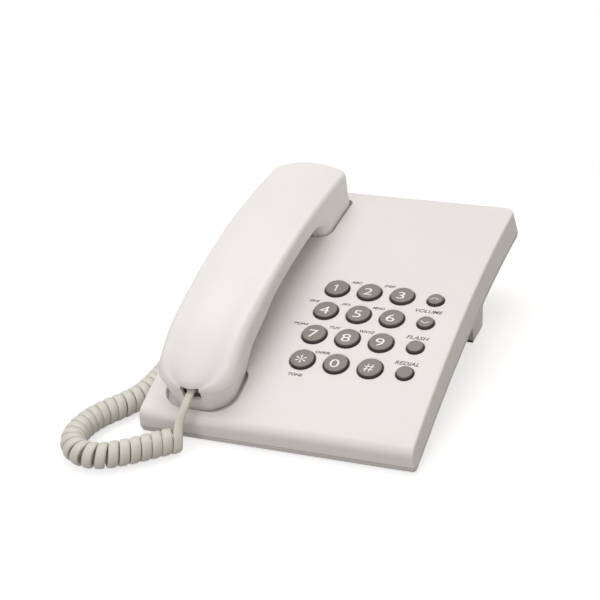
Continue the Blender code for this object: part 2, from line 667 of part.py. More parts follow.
def make_shells(frame):
    outer = case_body("case_outer", 0.0)
    hollow = case_body("case_hollow", WALL)
    seam = below("below_seam", seam_z, SEAM_GAP)
    lower_seam = below("below_seam_cover", seam_z)

    top = copy_of(outer, "top")
    carve(top, seam)
    carve(top, hollow)
    ear = ear_seat_y()
    for name, y, depth in (("mouth_walls", (MOUTH_SEAT_FRONT, MOUTH_SEAT_REAR), MOUTH_SEAT_DEPTH),
                           ("ear_walls", ear, EAR_SEAT_DEPTH)):
        walls = seat_block(name, y, depth)
        carve(walls, outer, "INTERSECT")
        carve(top, walls, "UNION")
    for x, y in case_screws():
        post = rod("post", BOSS_RADIUS, x, y, (bottom_z(y) + WALL + HEAD_HEIGHT + 2.0 * GAP,
                                               top_z(y) - 1.0 * MM))
        carve(top, post, "UNION")
    level = stack_level(board_depth())
    for x, y in board_screws():
        post = rod("board_post", BOARD_POST_RADIUS, x, y, (GAP, board_depth() + 0.5 * MM))
        post.data.transform(level)
        carve(post, outer, "INTERSECT")
        carve(top, post, "UNION")
    carve(top, seat_hollow("mouth_seat", MOUTH_SEAT_HALF, (MOUTH_SEAT_FRONT, MOUTH_SEAT_REAR),
                           MOUTH_SEAT_DEPTH, *MOUTH_SEAT_CORNERS))
    carve(top, seat_hollow("ear_seat", HANDSET_HALF + EAR_SEAT_MARGIN, ear, EAR_SEAT_DEPTH,
                           EAR_SEAT_CORNER, EAR_CORNER + EAR_SEAT_MARGIN))
    for x, row, radius in key_holes():
        hole = rod("key_hole", radius + RUN_GAP, 0.0, 0.0, (-2.0 * WALL, WALL), KEY_STEPS)
        place_on_top(hole, x, row)
        carve(top, hole)
    half_x, half_y = (size / 2.0 + RUN_GAP for size in PLUNGER_SIZE)
    carve(top, box("plunger_hole", (HANDSET_X - half_x, HANDSET_X + half_x),
                   (PLUNGER_Y - half_y, PLUNGER_Y + half_y), (-60.0 * MM, 0.0)))
    for x, y in case_screws():
        carve(top, rod("screw_bore", SCREW_SHANK + GAP, x, y, (-CASE_WIDTH, bottom_z(y) + WALL + HEAD_HEIGHT
                                                                + SCREW_LENGTH + GAP)))
    for x, y in board_screws():
        bore = rod("board_bore", BOARD_SCREW_SHANK + GAP, x, y, (-5.0 * MM, board_screw_tip() + GAP), 10)
        bore.data.transform(level)
        carve(top, bore)
    port = side_port_z()
    carve(top, box("side_port", (-CASE_WIDTH, -CASE_WIDTH / 2.0 + 2.0 * WALL),
                   (SIDE_PORT_Y - PLUG_WIDTH / 2.0 - RUN_GAP, SIDE_PORT_Y + PLUG_WIDTH / 2.0 + RUN_GAP),
                   (port - PLUG_HEIGHT / 2.0 - RUN_GAP, port + PLUG_HEIGHT / 2.0 + RUN_GAP)))
    jack_x, _, jack_z = line_jack_box()
    carve(top, box("line_port", (jack_x[0] + 0.8 * MM, jack_x[1] - 0.8 * MM),
                   (CASE_LENGTH - 2.0 * WALL, CASE_LENGTH + SKIRT),
                   (jack_z[0] + 0.8 * MM, jack_z[1] - 0.8 * MM)))
    slot = rear_slot_z()
    for x in SLIDER_X:
        reach = SLIDER_KNOB[0] / 2.0 + SLIDER_TRAVEL + GAP
        carve(top, box("slider_slot", (x - reach, x + reach),
                       (CASE_LENGTH - 2.0 * WALL, CASE_LENGTH + SKIRT),
                       (slot - SLIDER_KNOB[1] / 2.0 - GAP, slot + SLIDER_KNOB[1] / 2.0 + GAP)))
    finish(top, "base_top_cover", "shell", frame)

    tray = copy_of(outer, "tray")
    carve(tray, lower_seam, "INTERSECT")
    carve(tray, hollow)
    for x, y in case_screws():
        cup = rod("cup", SCREW_HEAD + GAP + 1.2 * MM, x, y, (bottom_z(y) + 0.5 * MM,
                                                            bottom_z(y) + WALL + HEAD_HEIGHT + GAP))
        carve(tray, cup, "UNION")
    for name, x, y, top_level in support_list():
        rest = box(name, x, y, (bottom_z(y[1]), top_level))
        carve(rest, outer, "INTERSECT")
        carve(tray, rest, "UNION")
    for x, y in case_screws():
        carve(tray, rod("head_bore", SCREW_HEAD + GAP, x, y, (-CASE_WIDTH, bottom_z(y) + WALL)))
        carve(tray, rod("shank_bore", SCREW_SHANK + GAP, x, y, (-CASE_WIDTH, 0.0)))
    finish(tray, "base_bottom_cover", "cover", frame)


def hook_switch_z():
    """Top and bottom of the hook switch, under the pressed plunger."""
    floor = top_z(PLUNGER_Y) - EAR_SEAT_DEPTH
    under = floor - WALL - GAP - PLUNGER_TRAVEL - PLUNGER_FLANGE
    return under - GAP, under - GAP - HOOK_SWITCH_HEIGHT


def support_list():
    """Rests that stand up from the bottom cover: name, x, y and top."""
    hook_half = HOOK_SWITCH_SIZE[0] / 2.0
    hook_y = (PLUNGER_Y - HOOK_SWITCH_SIZE[1] / 2.0, PLUNGER_Y + HOOK_SWITCH_SIZE[1] / 2.0)
    jack_x, jack_y, jack_z = line_jack_box()
    slot = rear_slot_z()
    rear = (CASE_LENGTH - 2.0 * WALL - 5.0 * MM, CASE_LENGTH - WALL - 1.6 * MM)
    port = side_port_z()
    port_y = (SIDE_PORT_Y - PLUG_WIDTH / 2.0 - JACK_WALL, SIDE_PORT_Y + PLUG_WIDTH / 2.0 + JACK_WALL)
    rests = [("hook_rest", (HANDSET_X - hook_half, HANDSET_X + hook_half), hook_y, hook_switch_z()[1] - GAP),
             ("jack_rest", jack_x, (jack_y[0], jack_y[1] - 2.0 * MM), jack_z[0] - GAP),
             ("port_rest", (-CASE_WIDTH / 2.0 + WALL + 1.0 * MM, -CASE_WIDTH / 2.0 + 14.0 * MM), port_y,
              port - PLUG_HEIGHT / 2.0 - RUN_GAP - JACK_WALL - GAP)]
    for name, x in zip(SLIDER_NAMES, SLIDER_X):
        rests.append((name + "_rest", (x - 5.0 * MM, x + 5.0 * MM), rear,
                      slot - SLIDER_KNOB[1] / 2.0 - 1.2 * MM - GAP))
    return rests


# ---- keys and what lies under them
def make_key(name, x, row, radius, frame):
    """A turned cap with a hidden flange, standing on its joint's axis."""
    flange = -WALL - GAP
    profile = ((0.0, KEY_PROUD), (radius - KEY_ROUND, KEY_PROUD), (radius, KEY_PROUD - KEY_ROUND),
               (radius, flange), (radius + KEY_FLANGE, flange), (radius + KEY_FLANGE, flange - FLANGE_THICK),
               (0.0, flange - FLANGE_THICK))
    bm = bmesh.new()
    verts = [bm.verts.new((u, 0.0, v)) for u, v in profile]
    for first, second in zip(verts, verts[1:]):
        bm.edges.new((first, second))
    mesh = bpy.data.meshes.new(name)
    bm.to_mesh(mesh)
    bm.free()
    key = add_object(name, mesh)
    turn = key.modifiers.new("Turn", "SCREW")
    turn.axis = "Z"
    turn.steps = KEY_STEPS
    turn.render_steps = KEY_STEPS
    turn.use_merge_vertices = True
    turn.merge_threshold = 0.00001
    y, z = on_top(row)
    finish(key, name, "key", frame, smooth=False)
    key.location = (x, y, z)
    key.rotation_euler = (-row / TOP_RADIUS, 0.0, 0.0)


def make_keys(frame):
    names = DIAL_NAMES + SMALL_NAMES
    for name, (x, row, radius) in zip(names, key_holes()):
        make_key(name, x, row, radius, frame)


def make_keypad(frame):
    depth = mat_top_depth()
    y_reach = BOARD_REACH - 2.0 * BOARD_SCREW_INSET
    x = (BOARD_X[0] + 0.5 * MM, BOARD_X[1] - 0.5 * MM)
    mat = box("mat", x, (-y_reach, y_reach), (-MAT_THICK, 0.0))
    for column, row, _ in key_holes():
        dome = rod("dome", DOME_RADIUS, column, TOP_RADIUS * sin((row - STACK_AT) / TOP_RADIUS),
                   (-MAT_THICK / 2.0, DOME_HEIGHT))
        carve(mat, dome, "UNION")
    mat.data.transform(stack_level(depth))
    finish(mat, "keypad_rubber_mat", "silicone", frame)

    board = box("board", BOARD_X, (-BOARD_REACH, BOARD_REACH), (-BOARD_THICK, 0.0))
    for x, y, across, along in CHIPS:
        chip = box("chip", (BOARD_X[0] + (x - across / 2) * MM, BOARD_X[0] + (x + across / 2) * MM),
                   ((y - along / 2) * MM, (y + along / 2) * MM),
                   (-BOARD_THICK - CHIP_HEIGHT, -BOARD_THICK / 2))
        carve(board, chip, "UNION")
    for x, y in board_screws():
        carve(board, rod("board_hole", BOARD_SCREW_SHANK + GAP, x, y,
                         (-BOARD_SCREW_LENGTH, BOARD_SCREW_LENGTH), 10))
    board.data.transform(stack_level(board_depth()))
    finish(board, "main_circuit_board", "board", frame)

    for index, (x, y) in enumerate(board_screws(), 1):
        under = -BOARD_THICK - GAP
        screw = rod("screw", BOARD_SCREW_HEAD, x, y, (under - HEAD_HEIGHT, under), 10)
        shank = rod("shank", BOARD_SCREW_SHANK, x, y, (under - HEAD_HEIGHT / 2.0, board_screw_tip()), 10)
        carve(screw, shank, "UNION")
        screw.data.transform(stack_level(board_depth()))
        finish(screw, "board_screw_%d" % index, "steel", frame)


# ---- pieces inside the case
def make_inside(frame):
    hook_top, hook_bottom = hook_switch_z()
    half_x, half_y = (size / 2.0 for size in PLUNGER_SIZE)
    floor = top_z(PLUNGER_Y) - EAR_SEAT_DEPTH
    shaft = box("shaft", (HANDSET_X - half_x, HANDSET_X + half_x), (PLUNGER_Y - half_y, PLUNGER_Y + half_y),
                (hook_top + GAP, floor - 0.6 * MM))
    flange_top = floor - WALL - GAP - PLUNGER_TRAVEL
    carve(shaft, box("flange", (HANDSET_X - half_x - 1.5 * MM, HANDSET_X + half_x + 1.5 * MM),
                     (PLUNGER_Y - half_y - 1.5 * MM, PLUNGER_Y + half_y + 1.5 * MM),
                     (flange_top - PLUNGER_FLANGE, flange_top - 0.7 * MM)), "UNION")
    set_origin(shaft, (HANDSET_X, PLUNGER_Y, floor))
    finish(shaft, "hook_plunger", "shell", frame, smooth=False)

    half_x, half_y = (size / 2.0 for size in HOOK_SWITCH_SIZE)
    switch = box("switch", (HANDSET_X - half_x, HANDSET_X + half_x),
                 (PLUNGER_Y - half_y, PLUNGER_Y + half_y), (hook_bottom, hook_top))
    finish(switch, "hook_switch", "dark", frame, smooth=False)

    line = [BALLAST_Y[0] + (BALLAST_Y[1] - BALLAST_Y[0]) * i / 6 for i in range(7)]
    outline = [(v, bottom_z(v) + WALL + GAP + BALLAST_THICK) for v in line]
    outline += [(v, bottom_z(v) + WALL + GAP) for v in reversed(line)]
    finish(side_solid("ballast", outline, BALLAST_X), "ballast_plate", "steel", frame)

    x, y = BUZZER_PLACE
    slope = Matrix.Rotation(-asin(y / BOTTOM_RADIUS) - BOTTOM_SLOPE, 4, "X")
    seat = Matrix.Translation((x, y, bottom_z(y) + WALL + 2.0 * GAP)) @ slope
    buzzer = rod("buzzer", BUZZER_RADIUS, 0.0, 0.0, (0.0, BUZZER_HEIGHT), 24)
    stud = rod("stud", BUZZER_RADIUS / 4.0, 0.0, 0.0, (BUZZER_HEIGHT / 2.0, BUZZER_HEIGHT + 1.2 * MM), 12)
    carve(buzzer, stud, "UNION")
    buzzer.data.transform(seat)
    finish(buzzer, "ringer_buzzer", "dark", frame)

    port = side_port_z()
    x = (-CASE_WIDTH / 2.0 + WALL + GAP, -CASE_WIDTH / 2.0 + WALL + GAP + PLUG_LENGTH + JACK_WALL)
    make_jack("base_handset_jack", x, SIDE_PORT_Y, port, frame)

    jack_x, jack_y, jack_z = line_jack_box()
    jack = box("line_jack", jack_x, jack_y, jack_z)
    width, height, depth = LINE_SOCKET
    middle_z = (jack_z[0] + jack_z[1]) / 2.0
    carve(jack, box("socket", (LINE_JACK_X - width / 2, LINE_JACK_X + width / 2),
                    (jack_y[1] - depth, jack_y[1] + WALL), (middle_z - height / 2, middle_z + height / 2)))
    finish(jack, "line_jack", "dark", frame, smooth=False)

    slot = rear_slot_z()
    inner = CASE_LENGTH - WALL - GAP
    for name, x in zip(SLIDER_NAMES, SLIDER_X):
        reach = SLIDER_KNOB[0] / 2.0
        height = SLIDER_KNOB[1] / 2.0
        knob = box(name, (x - reach, x + reach), (inner - 1.2 * MM, CASE_LENGTH + SLIDER_PROUD),
                   (slot - height, slot + height))
        set_origin(knob, (x, CASE_LENGTH, slot))
        finish(knob, name, "shell", frame, smooth=False)
        body = box(name + "_body", (x - 5.0 * MM, x + 5.0 * MM), (inner - 5.5 * MM, inner - 1.2 * MM - GAP),
                   (slot - height - 1.2 * MM, slot + height + 1.2 * MM))
        finish(body, name.replace("_knob", "_body"), "dark", frame, smooth=False)


def make_jack(name, x, y, z, frame):
    """A modular jack whose socket opens towards -X."""
    half_y = PLUG_WIDTH / 2.0 + GAP
    half_z = PLUG_HEIGHT / 2.0 + GAP
    jack = box("jack", x, (y - half_y - JACK_WALL, y + half_y + JACK_WALL),
               (z - half_z - JACK_WALL, z + half_z + JACK_WALL))
    carve(jack, box("socket", (x[0] - JACK_WALL, x[1] - JACK_WALL), (y - half_y, y + half_y),
                    (z - half_z, z + half_z)))
    finish(jack, name, "dark", frame, smooth=False)


def make_case_screws(frame):
    for index, (x, y) in enumerate(case_screws(), 1):
        under = bottom_z(y) + WALL - GAP
        screw = rod("screw", SCREW_HEAD, x, y, (under - HEAD_HEIGHT, under))
        carve(screw, rod("shank", SCREW_SHANK, x, y, (under - HEAD_HEIGHT / 2, under + SCREW_LENGTH), 10),
              "UNION")
        finish(screw, "case_screw_%d" % index, "steel", frame)


# ---- stand and feet
def make_stand():
    """Two legs with flat soles, joined by a crosspiece that lies along the case's underside."""
    sole = PAD_HEIGHT + GAP
    front, rear = LEG_FRONT, LEG_FRONT + LEG_LENGTH
    line = [front - LEG_FLARE[0] + (LEG_LENGTH + sum(LEG_FLARE)) * i / 4 for i in range(5)]
    roof = [(v - CASE_MIDDLE, case_bottom_above_table(v) - GAP) for v in line]
    leg = [(rear - CASE_MIDDLE, sole), (front - CASE_MIDDLE, sole)] + roof
    inner = STAND_HALF_WIDTH - LEG_WIDTH
    stand = side_solid("stand", leg, (inner, STAND_HALF_WIDTH))
    carve(stand, side_solid("left_leg", leg, (-STAND_HALF_WIDTH, -inner)), "UNION")
    bridge = roof + [(v, z - BRIDGE_DEPTH) for v, z in reversed(roof)]
    carve(stand, side_solid("bridge", bridge, (-inner - 1.0 * MM, inner + 1.0 * MM)), "UNION")
    finish(stand, "stand", "shell", smooth=False)
    for name, side in (("stand_pad_right", 1.0), ("stand_pad_left", -1.0)):
        middle = side * (STAND_HALF_WIDTH - LEG_WIDTH / 2.0)
        pad = box(name, (middle - LEG_WIDTH / 2.0 + 1.0 * MM, middle + LEG_WIDTH / 2.0 - 1.0 * MM),
                  (front - CASE_MIDDLE + 1.0 * MM, rear - CASE_MIDDLE - 1.0 * MM), (0.0, PAD_HEIGHT))
        finish(pad, name, "rubber", smooth=False)


def make_feet():
    """Wedge feet under the front edge, flat on the table."""
    line = [FOOT_BACK + FOOT_SIZE[1] * i / 2 for i in range(3)]
    outline = [(v - CASE_MIDDLE, case_bottom_above_table(v) - GAP) for v in line]
    outline += [(line[-1] - CASE_MIDDLE, 0.0), (line[0] - CASE_MIDDLE, 0.0)]
    for name, side in (("front_foot_right", 1.0), ("front_foot_left", -1.0)):
        middle = side * FOOT_X
        foot = side_solid(name, outline, (middle - FOOT_SIZE[0] / 2.0, middle + FOOT_SIZE[0] / 2.0))
        finish(foot, name, "rubber", smooth=False)


# ---- handset
def handset_stations():
    front, rear = corner_stations(HANDSET_FRONT, HANDSET_REAR, MOUTH_CORNER, EAR_CORNER, 6, 4)
    grip = EAR_BLOCK_START - EAR_FILLET - MOUTH_BLOCK_END
    middle = [BACK_PEAK_Y, MOUTH_BLOCK_END]
    middle += [MOUTH_BLOCK_END + grip * share / 211.0 for share in (14, 30, 50, 74, 102, 134, 170, 206)]
    fillet = [EAR_BLOCK_START - EAR_FILLET * (1.0 - share) for share in (0.0, 0.5, 0.75, 0.9, 0.97, 1.0)]
    ear = (EAR_BLOCK_START * 51.0 + HANDSET_REAR * 35.0) / 86.0
    return front + middle + fillet + [ear] + rear


def lean_back(point):
    """The ear end's rear face leans away from the mouth end."""
    x, y, z = point
    share = min(1.0, max(0.0, (y - EAR_BLOCK_START) / (HANDSET_REAR - EAR_BLOCK_START)))
    return x, y + EAR_LEAN * share * (z - top_z(y)), z


def handset_body(name, inset, lower):
    """One shell's outer form, or its hollow when it is inset by the wall."""
    rings = []
    for y in handset_stations():
        if y < HANDSET_FRONT + inset or y > HANDSET_REAR - inset:
            if not (y in (HANDSET_FRONT, HANDSET_REAR)):
                continue
            y = HANDSET_FRONT + inset if y == HANDSET_FRONT else HANDSET_REAR - inset
        share = min(1.0, max(0.0, (y - GRIP_END) / (EAR_BLOCK_START - GRIP_END)))
        step = (LOWER_INSET + (EAR_INSET - LOWER_INSET) * share) if lower else 0.0
        low = HANDSET_FRONT + step + inset
        high = HANDSET_REAR - EAR_INSET * (1.0 if lower else 0.0) - inset
        y = min(max(y, low), high)
        half = corner_half(y, low, high, HANDSET_HALF - step - inset, MOUTH_CORNER - inset,
                           EAR_CORNER - inset)
        shoulder = SHOULDER_ROUND[0] + (SHOULDER_ROUND[1] - SHOULDER_ROUND[0]) * min(1.0, y / GRIP_END)
        belly = min(1.0, max(0.0, (y - MOUTH_BLOCK_END) / GRIP_END))
        edge = EDGE_ROUND[0] + (EDGE_ROUND[1] - EDGE_ROUND[0]) * sin(pi * belly)
        end = max(0.0, y - high + REAR_ROUND)
        top = shoulder_z(y) - inset - arc_drop(end, REAR_ROUND)
        bottom = underside_z(y) + inset
        taper = LOWER_TAPER * (1.0 - share) if lower else 0.0
        shoulder = min(max(shoulder - inset, 0.8 * MM), half * 0.8)
        edge = min(max(edge - inset, 0.8 * MM), half * 0.8)
        nose = min(1.0, half / HANDSET_HALF / 0.9)
        ring = section(y, HANDSET_X, half, bottom, top, CROWN * nose, shoulder, edge, taper)
        rings.append([lean_back(point) for point in ring])
    return loft(name, rings)


def under_parting(name, offset):
    count = 20
    deep = -CASE_WIDTH
    line = [-5.0 * MM + (HANDSET_REAR + 17.5 * MM) * i / count for i in range(count + 1)]
    outline = [(y, parting_z(y) + offset) for y in line] + [(line[-1], deep), (line[0], deep)]
    return side_solid(name, outline, (HANDSET_X - 2.0 * HANDSET_HALF, HANDSET_X + 2.0 * HANDSET_HALF))


def make_handset(frame):
    hollow = handset_body("handset_hollow", SHELL_WALL, False)
    lower_hollow = handset_body("handset_lower_hollow", SHELL_WALL, True)
    upper = handset_body("upper", 0.0, False)
    carve(upper, under_parting("upper_parting", GAP / 2.0))
    carve(upper, hollow)
    lower = handset_body("lower", 0.0, True)
    carve(lower, under_parting("lower_parting", -GAP / 2.0), "INTERSECT")
    carve(lower, lower_hollow)

    for y in HANDSET_SCREWS:
        foot = underside_z(y) + SHELL_WALL
        post = rod("post", HANDSET_POST, HANDSET_X, y,
                   (foot + CUP_HEIGHT + GAP, shoulder_z(y) + CROWN - 1.0 * MM))
        carve(upper, post, "UNION")
        carve(upper, rod("bore", SCREW_SHANK + GAP, HANDSET_X, y,
                         (-60.0 * MM, foot + SCREW_LENGTH + 2.0 * GAP)))
        cup = rod("cup", SCREW_HEAD + 1.5 * MM, HANDSET_X, y, (foot - 1.0 * MM, foot + CUP_HEIGHT))
        carve(lower, cup, "UNION")
        carve(lower, rod("head_bore", SCREW_HEAD + GAP, HANDSET_X, y, (-60.0 * MM, foot)))
        carve(lower, rod("shank_bore", SCREW_SHANK + GAP, HANDSET_X, y, (-60.0 * MM, 60.0 * MM)))
    half_width = HANDSET_PORT_WIDTH / 2.0
    port = box("handset_port", (HANDSET_X - half_width, HANDSET_X + half_width),
               (HANDSET_FRONT - 2.0 * SHELL_WALL, HANDSET_FRONT + LOWER_INSET + 2.0 * SHELL_WALL),
               HANDSET_PORT_Z)
    carve(upper, port)
    carve(lower, port)
    for i in range(7):
        angle = 2.0 * pi * i / 6
        reach = 0.0 if i == 6 else SOUND_RING
        x, y = HANDSET_X + reach * cos(angle), RECEIVER_Y + reach * sin(angle)
        through = (underside_z(y) - SHELL_WALL, underside_z(y) + 2.0 * SHELL_WALL)
        carve(lower, rod("sound_hole", SOUND_HOLE, x, y, through, 8))
    floor = underside_z(MICROPHONE_Y)
    carve(lower, rod("mic_hole", SOUND_HOLE, HANDSET_X, MICROPHONE_Y,
                     (floor - SHELL_WALL, floor + 2.0 * SHELL_WALL), 8))
    inside_handset(lower, frame)
    finish(upper, "handset_upper_shell", "shell", frame)
    finish(lower, "handset_lower_shell", "shell", frame)


def inside_handset(lower, frame):
    """What the handset holds, and the lower shell's seats for it."""
    floor = underside_z(RECEIVER_Y) + SHELL_WALL
    seat = Matrix.Translation((HANDSET_X, RECEIVER_Y, floor + GAP))
    seat = seat @ Matrix.Rotation(-asin(RECEIVER_Y / TOP_RADIUS), 4, "X")
    receiver = rod("receiver", RECEIVER_RADIUS, 0.0, 0.0, (0.0, RECEIVER_RIM), 24)
    magnet = rod("magnet", MAGNET_RADIUS, 0.0, 0.0, (RECEIVER_RIM / 2.0, RECEIVER_RIM + MAGNET_HEIGHT), 16)
    carve(receiver, magnet, "UNION")
    receiver.data.transform(seat)
    finish(receiver, "receiver_capsule", "dark", frame)

    x, y = HANDSET_X, MICROPHONE_Y
    floor = underside_z(y) + SHELL_WALL + GAP
    rim = floor + BOOT_FLOOR + GAP + MICROPHONE_HEIGHT
    boot = rod("boot", BOOT_RADIUS, x, y, (floor, rim - GAP), 16)
    carve(boot, rod("boot_bore", MICROPHONE_RADIUS + GAP, x, y, (floor + BOOT_FLOOR, rim + GAP), 16))
    carve(boot, rod("boot_port", SOUND_HOLE, x, y, (floor - GAP, floor + BOOT_FLOOR + GAP), 8))
    finish(boot, "microphone_boot", "rubber", frame)
    capsule = rod("capsule", MICROPHONE_RADIUS, x, y, (floor + BOOT_FLOOR + GAP, rim), 16)
    finish(capsule, "microphone_capsule", "steel", frame)

    line = [WEIGHT_Y[0] + (WEIGHT_Y[1] - WEIGHT_Y[0]) * i / 4 for i in range(5)]
    outline = [(v, underside_z(v) + SHELL_WALL + GAP + WEIGHT_THICK) for v in line]
    outline += [(v, underside_z(v) + SHELL_WALL + GAP) for v in reversed(line)]
    weight = side_solid("weight", outline, (HANDSET_X - WEIGHT_HALF, HANDSET_X + WEIGHT_HALF))
    finish(weight, "handset_weight", "steel", frame)

    for index, place in enumerate(HANDSET_SCREWS, 1):
        under = underside_z(place) + SHELL_WALL - GAP
        screw = rod("screw", SCREW_HEAD, HANDSET_X, place, (under - HEAD_HEIGHT, under))
        shank = rod("shank", SCREW_SHANK, HANDSET_X, place,
                    (under - HEAD_HEIGHT / 2, under + SCREW_LENGTH), 10)
        carve(screw, shank, "UNION")
        finish(screw, "handset_screw_%d" % index, "steel", frame)

    x, z = HANDSET_X, handset_plug_z()
    half_x, half_z = PLUG_WIDTH / 2.0 + GAP, PLUG_HEIGHT / 2.0 + GAP
    front = HANDSET_FRONT + HANDSET_JACK_BACK
    rear = HANDSET_FRONT + PLUG_RECESS + PLUG_LENGTH + GAP
    jack = box("jack", (x - half_x - JACK_WALL, x + half_x + JACK_WALL), (front, rear + JACK_WALL),
               (z - half_z - JACK_WALL, z + half_z + JACK_WALL))
    carve(jack, box("socket", (x - half_x, x + half_x), (0.0, rear), (z - half_z, z + half_z)))
    finish(jack, "handset_jack", "dark", frame, smooth=False)
    seat_z = underside_z(front) + SHELL_WALL - 1.0 * MM
    rest = box("jack_rest", (x - half_x, x + half_x), (front, MICROPHONE_Y - BOOT_RADIUS - 2.0 * GAP),
               (seat_z, z - half_z - JACK_WALL - GAP))
    carve(lower, rest, "UNION")


def handset_plug_z():
    return (HANDSET_PORT_Z[0] + HANDSET_PORT_Z[1]) / 2.0


def make_plugs(frame):
    x, z = HANDSET_X, handset_plug_z()
    front = HANDSET_FRONT + PLUG_RECESS
    plug = box("plug", (x - PLUG_WIDTH / 2.0, x + PLUG_WIDTH / 2.0), (front, front + PLUG_LENGTH),
               (z - PLUG_HEIGHT / 2.0, z + PLUG_HEIGHT / 2.0))
    finish(plug, "plug_handset_end", "clear", frame, smooth=False)
    z = side_port_z()
    outside = -CASE_WIDTH / 2.0 - SIDE_PORT_PROUD
    plug = box("plug", (outside, outside + PLUG_LENGTH),
               (SIDE_PORT_Y - PLUG_WIDTH / 2.0, SIDE_PORT_Y + PLUG_WIDTH / 2.0),
               (z - PLUG_HEIGHT / 2.0, z + PLUG_HEIGHT / 2.0))
    finish(plug, "plug_base_end", "clear", frame, smooth=False)


# ---- curly cord
def spline_points(points, spacing):
    """Points at a steady spacing on a smooth curve through the given ones."""
    padded = [points[0] * 2 - points[1]] + points + [points[-1] * 2 - points[-2]]
    fine = []
    for a, b, c, d in zip(padded, padded[1:], padded[2:], padded[3:]):
        for i in range(24):
            t = i / 24
            fine.append(((2 * b) + (c - a) * t + (2 * a - 5 * b + 4 * c - d) * t * t
                         + (3 * b - a - 3 * c + d) * t ** 3) / 2)
    fine.append(points[-1])
    lengths = [0.0]
    for first, second in zip(fine, fine[1:]):
        lengths.append(lengths[-1] + (second - first).length)
    count = max(2, round(lengths[-1] / spacing))
    steady, index = [], 0
    for k in range(count + 1):
        target = lengths[-1] * k / count
        while index < len(lengths) - 2 and lengths[index + 1] < target:
            index += 1
        span = lengths[index + 1] - lengths[index]
        share = (target - lengths[index]) / span if span else 0.0
        steady.append(fine[index].lerp(fine[index + 1], min(1.0, share)))
    return steady


def coil_centre():
    height = CURL_RADIUS + WIRE_RADIUS + COIL_LIFT
    return [Vector((HANDSET_X + x * MM, y * MM - CASE_MIDDLE, height)) for x, y in COIL_ROUTE]


def coil_points():
    """The helix: it starts over the top of the coil, on the side away from the case."""
    line = spline_points(coil_centre(), CURL_PITCH / CURL_POINTS)
    points = []
    for i, centre in enumerate(line):
        ahead = line[min(i + 1, len(line) - 1)] - line[max(i - 1, 0)]
        left = Vector((0.0, 0.0, 1.0)).cross(ahead.normalized())
        angle = 2.0 * pi * i / CURL_POINTS + CURL_START
        points.append(centre + CURL_RADIUS * (Vector((0.0, 0.0, 1.0)) * cos(angle) + left * sin(angle)))
    return points


def handset_lead():
    """From the handset's plug, forwards and down to the first curl."""
    y, z = to_table(HANDSET_FRONT + PLUG_RECESS - GAP, handset_plug_z())
    start = Vector((HANDSET_X, y, z))
    out = Vector((0.0, -cos(TILT), -sin(TILT)))
    return [start, start + out * 2.0 * WIRE_RADIUS, start + out * 8.0 * MM]


def side_lead():
    """From the last curl back and up into the plug in the case's side."""
    y, z = to_table(SIDE_PORT_Y, side_port_z())
    end = Vector((-CASE_WIDTH / 2.0 - SIDE_PORT_PROUD - GAP, y, z))
    out = Vector((-1.0, 0.0, 0.0))
    return [end + out * 6.0 * MM + Vector((0.0, 0.0, -1.0 * MM)), end + out * 2.0 * WIRE_RADIUS, end]


def least_gap(points, radius):
    """Smallest space between stretches of the tube that aren't neighbours along it."""
    lengths = [0.0]
    for first, second in zip(points, points[1:]):
        lengths.append(lengths[-1] + (second - first).length)
    least = 1.0
    for i, first in enumerate(points):
        for j in range(i + 1, len(points)):
            if lengths[j] - lengths[i] > 4.0 * radius:
                least = min(least, (points[j] - first).length)
    return least - 2.0 * radius


def make_cord():
    coil = coil_points()
    start, straight, swing = handset_lead()
    first = coil[0]
    front = [straight, swing]
    front += [Vector((HANDSET_X + x * MM, y * MM - CASE_MIDDLE, z * MM)) for x, y, z in HANDSET_LEAD]
    front.append(first)
    rise, square, end = side_lead()
    last = coil[-1]
    sweep = Vector((last.x - 1.0 * MM, last.y + SIDE_LEAD_BACK * 0.5, last.z + 2.0 * MM))
    back = [last, sweep, Vector((rise.x - 2.0 * MM, rise.y - 3.0 * MM, rise.z - 8.0 * MM)), rise, square]
    route = [start] + spline_points(front, LEAD_STEP)[:-1] + coil
    route += spline_points(back, LEAD_STEP)[1:] + [end]
    curve = bpy.data.curves.new("curly_cord", "CURVE")
    curve.dimensions = "3D"
    curve.bevel_depth = WIRE_RADIUS
    curve.bevel_resolution = 1
    curve.use_fill_caps = True
    spline = curve.splines.new("POLY")
    spline.points.add(len(route) - 1)
    for point, place in zip(spline.points, route):
        point.co = (*place, 1.0)
    cord = curve_solid("curly_cord", curve, Matrix.Identity(4))
    finish(cord, "curly_cord", "cord")
    length = sum((b - a).length for a, b in zip(route, route[1:]))
    print("curly cord: %d curls, %.0f mm of wire, least gap to itself %.2f mm"
          % (len(coil) // CURL_POINTS, length / MM, least_gap(route, WIRE_RADIUS) / MM))


def main():
    y, z = to_table(0.0, 0.0)
    slab = add_empty("case_frame", (0.0, y, z), TILT)
    handset = add_empty("handset_frame", (0.0, 0.0, 0.0), 0.0, slab)
    make_shells(slab)
    make_keys(slab)
    make_keypad(slab)
    make_inside(slab)
    make_case_screws(slab)
    make_stand()
    make_feet()
    make_handset(handset)
    make_plugs(slab)
    make_cord()


main()
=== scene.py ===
from math import acos, asin, copysign, cos, pi, radians, sin, sqrt

import bmesh
import bpy
from mathutils import Matrix, Vector


